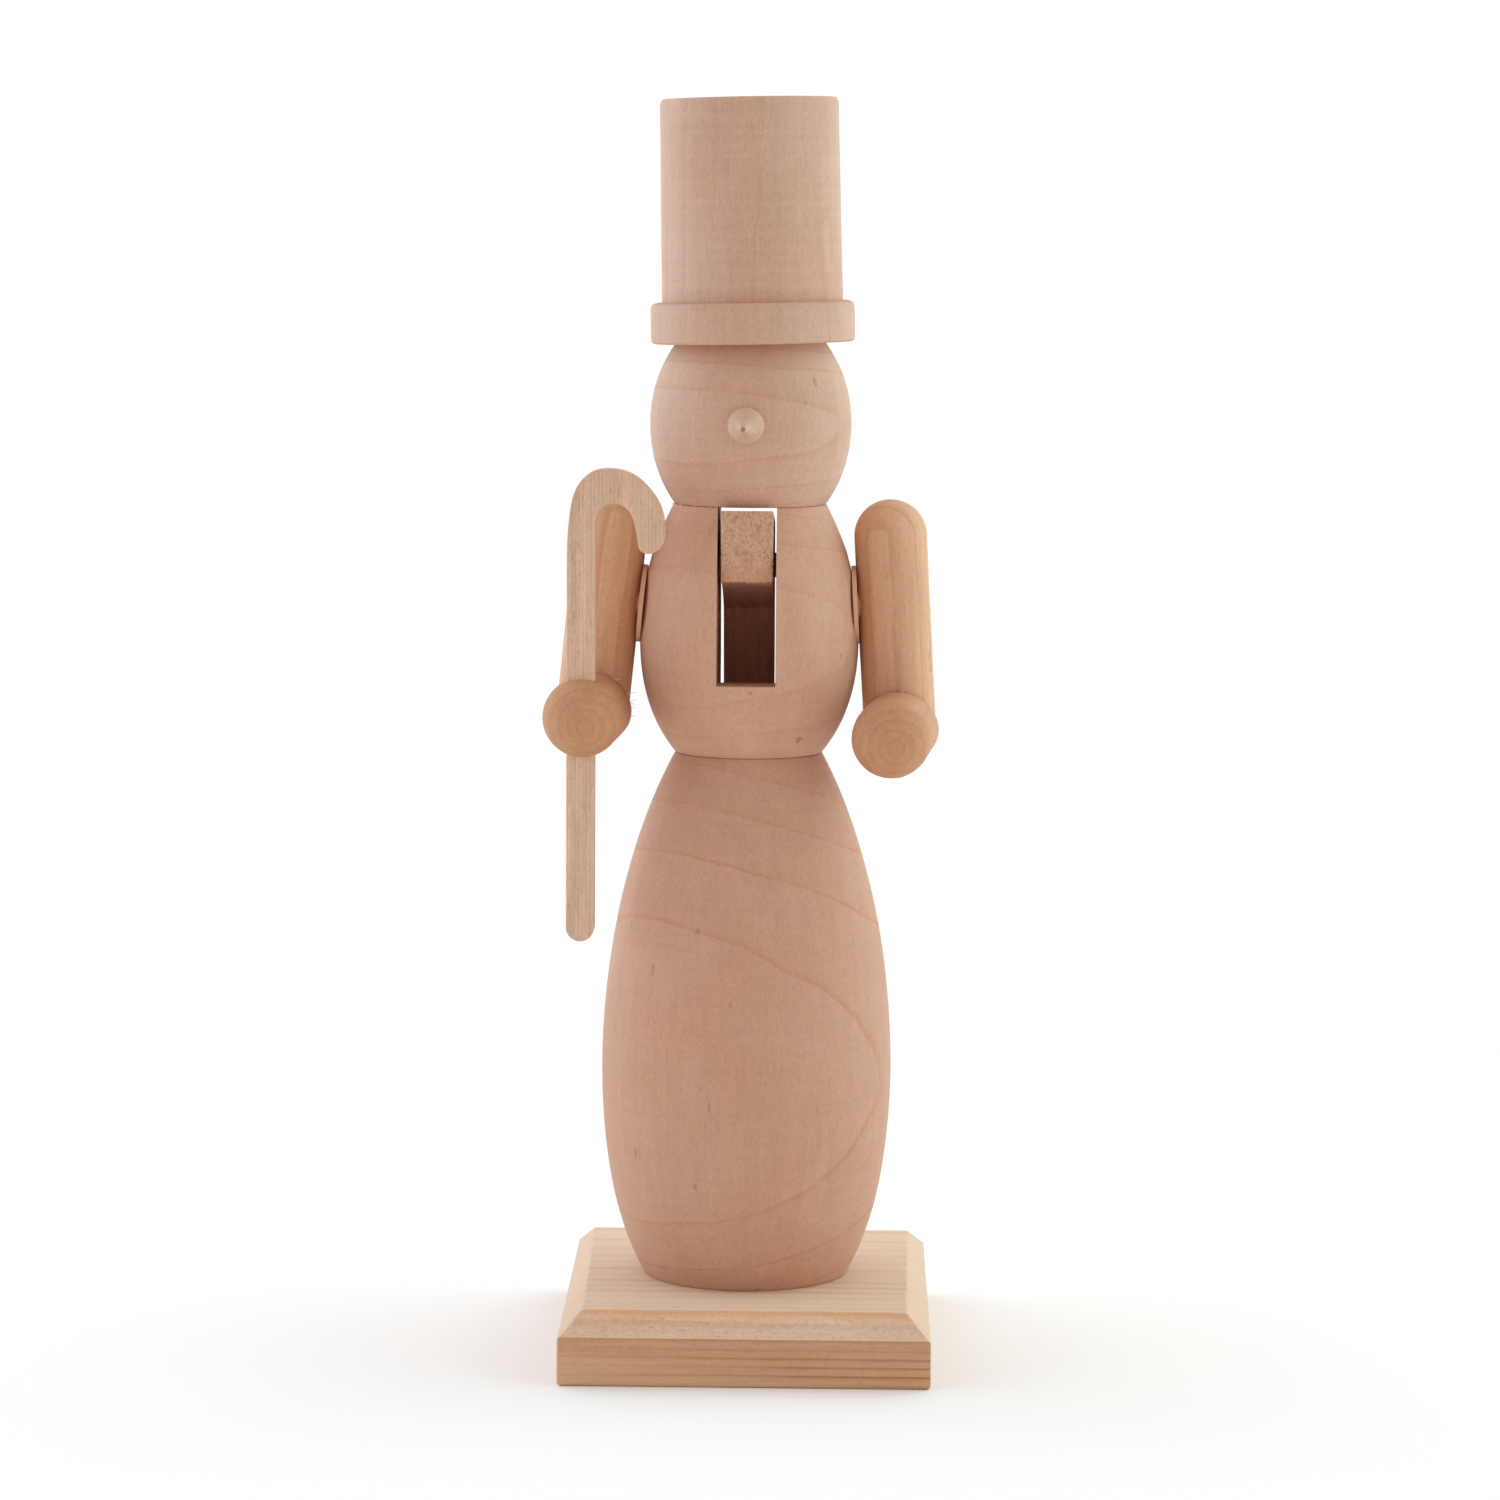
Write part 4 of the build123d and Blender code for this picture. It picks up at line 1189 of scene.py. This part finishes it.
class SnowmanStage(bpy.types.Operator):
    """Set up the pale floor, the soft lights and the camera."""

    bl_idname = "snowman.stage"
    bl_label = "Studio"

    def execute(self, context):
        studio = settings()[2]
        self.floor(studio)
        self.backdrop(studio)
        self.room(studio)
        self.camera(studio)
        context.scene.view_settings.view_transform = "Standard"
        return {"FINISHED"}

    def floor(self, studio):
        """A wide pale disc at the board's underside."""
        bm = bmesh.new()
        bmesh.ops.create_circle(bm, cap_ends=True, segments=96, radius=0.8)
        obj = new_object("floor", bm)
        f = Finish("floor_paint")
        f.join((*studio.floor_colour, 1.0), f.shader.inputs["Base Color"])
        f.shader.inputs["Roughness"].default_value = 0.9
        f.shader.inputs["Specular IOR Level"].default_value = 0.1
        reach = f.vector("LENGTH", f.place())
        f.join(f.remap(reach, 0.22, 0.75, 1.0, 0.0), f.shader.inputs["Alpha"])
        obj.data.materials.append(f.material)

    def backdrop(self, studio):
        """A large pale shell round the studio, seen by the camera but giving no light."""
        bm = bmesh.new()
        bmesh.ops.create_icosphere(bm, subdivisions=4, radius=6.0)
        obj = new_object("backdrop", bm)
        for ray in ("diffuse", "glossy", "transmission", "volume_scatter", "shadow"):
            setattr(obj, "visible_" + ray, False)
        f = Finish("backdrop_paper")
        f.join((0.0, 0.0, 0.0, 1.0), f.shader.inputs["Base Color"])
        f.join((*studio.backdrop_colour, 1.0), f.shader.inputs["Emission Color"])
        f.shader.inputs["Emission Strength"].default_value = 1.0
        obj.data.materials.append(f.material)

    def room(self, studio):
        """Soft panels of light round the figure."""
        world = bpy.data.worlds.new("studio_room")
        bpy.context.scene.world = world
        world.use_nodes = True
        nodes = Nodes(world.node_tree)
        where = nodes.add("ShaderNodeTexCoord").outputs["Generated"]
        total = (0.0, 0.0, 0.0)
        for panel, (aim, low, high) in PANELS.items():
            facing = nodes.vector("DOT_PRODUCT", where, Vector(aim).normalized())
            light = nodes.scale(getattr(studio, panel), nodes.remap(facing, low, high))
            total = nodes.vector("ADD", total, light)
        nodes.join(total, nodes.tree.nodes["Background"].inputs["Color"])

    def camera(self, studio):
        """A long lens in front of the figure, a little above its middle."""
        data = bpy.data.cameras.new("camera")
        data.sensor_width = 36.0
        data.lens = studio.lens
        data.clip_start = 0.05
        data.clip_end = 100.0
        obj = bpy.data.objects.new("camera", data)
        bpy.context.scene.collection.objects.link(obj)
        turn, far = studio.camera_turn, studio.camera_distance
        right = far * math.sin(turn) + studio.camera_shift
        place = Matrix.Translation((right, -far * math.cos(turn), studio.camera_height))
        aim = Euler((PI / 2 - studio.camera_tilt, 0, turn)).to_matrix().to_4x4()
        obj.matrix_world = place @ aim @ Matrix.Rotation(studio.camera_roll, 4, "Z")
        bpy.context.scene.camera = obj


PIECES = [
    SnowmanBoard,
    SnowmanLowerBody,
    SnowmanTorso,
    SnowmanHead,
    SnowmanHat,
    SnowmanLever,
    SnowmanArms,
    SnowmanShoulders,
    SnowmanCane,
    SnowmanFibres,
    SnowmanStage,
]


class SnowmanPanel(bpy.types.Panel):
    """Lists the pieces, their sizes and colours."""

    bl_idname = "VIEW3D_PT_snowman"
    bl_label = "Snowman Nutcracker"
    bl_space_type = "VIEW_3D"
    bl_region_type = "UI"
    bl_category = "Snowman"

    def draw(self, context):
        layout = self.layout
        column = layout.column(align=True)
        for piece in PIECES:
            column.operator(piece.bl_idname)
        for title, group in zip(("Sizes", "Woods", "Studio"), settings()):
            box = layout.box()
            box.label(text=title)
            for name in group.bl_rna.properties.keys():
                if name not in ("rna_type", "name"):
                    box.prop(group, name)


GROUPS = {
    "snowman_sizes": SnowmanSizes,
    "snowman_woods": SnowmanWoods,
    "snowman_studio": SnowmanStudio,
}


def register():
    for group in GROUPS.values():
        bpy.utils.register_class(group)
    for name, group in GROUPS.items():
        setattr(bpy.types.Scene, name, PointerProperty(type=group))
    for piece in PIECES:
        bpy.utils.register_class(piece)
    bpy.utils.register_class(SnowmanPanel)


def unregister():
    bpy.utils.unregister_class(SnowmanPanel)
    for piece in reversed(PIECES):
        bpy.utils.unregister_class(piece)
    for name, group in reversed(list(GROUPS.items())):
        delattr(bpy.types.Scene, name)
        bpy.utils.unregister_class(group)


def main():
    register()
    for piece in PIECES:
        maker, action = piece.bl_idname.split(".")
        getattr(getattr(bpy.ops, maker), action)()
    bpy.context.view_layer.update()


if __name__ == "__main__":
    main()
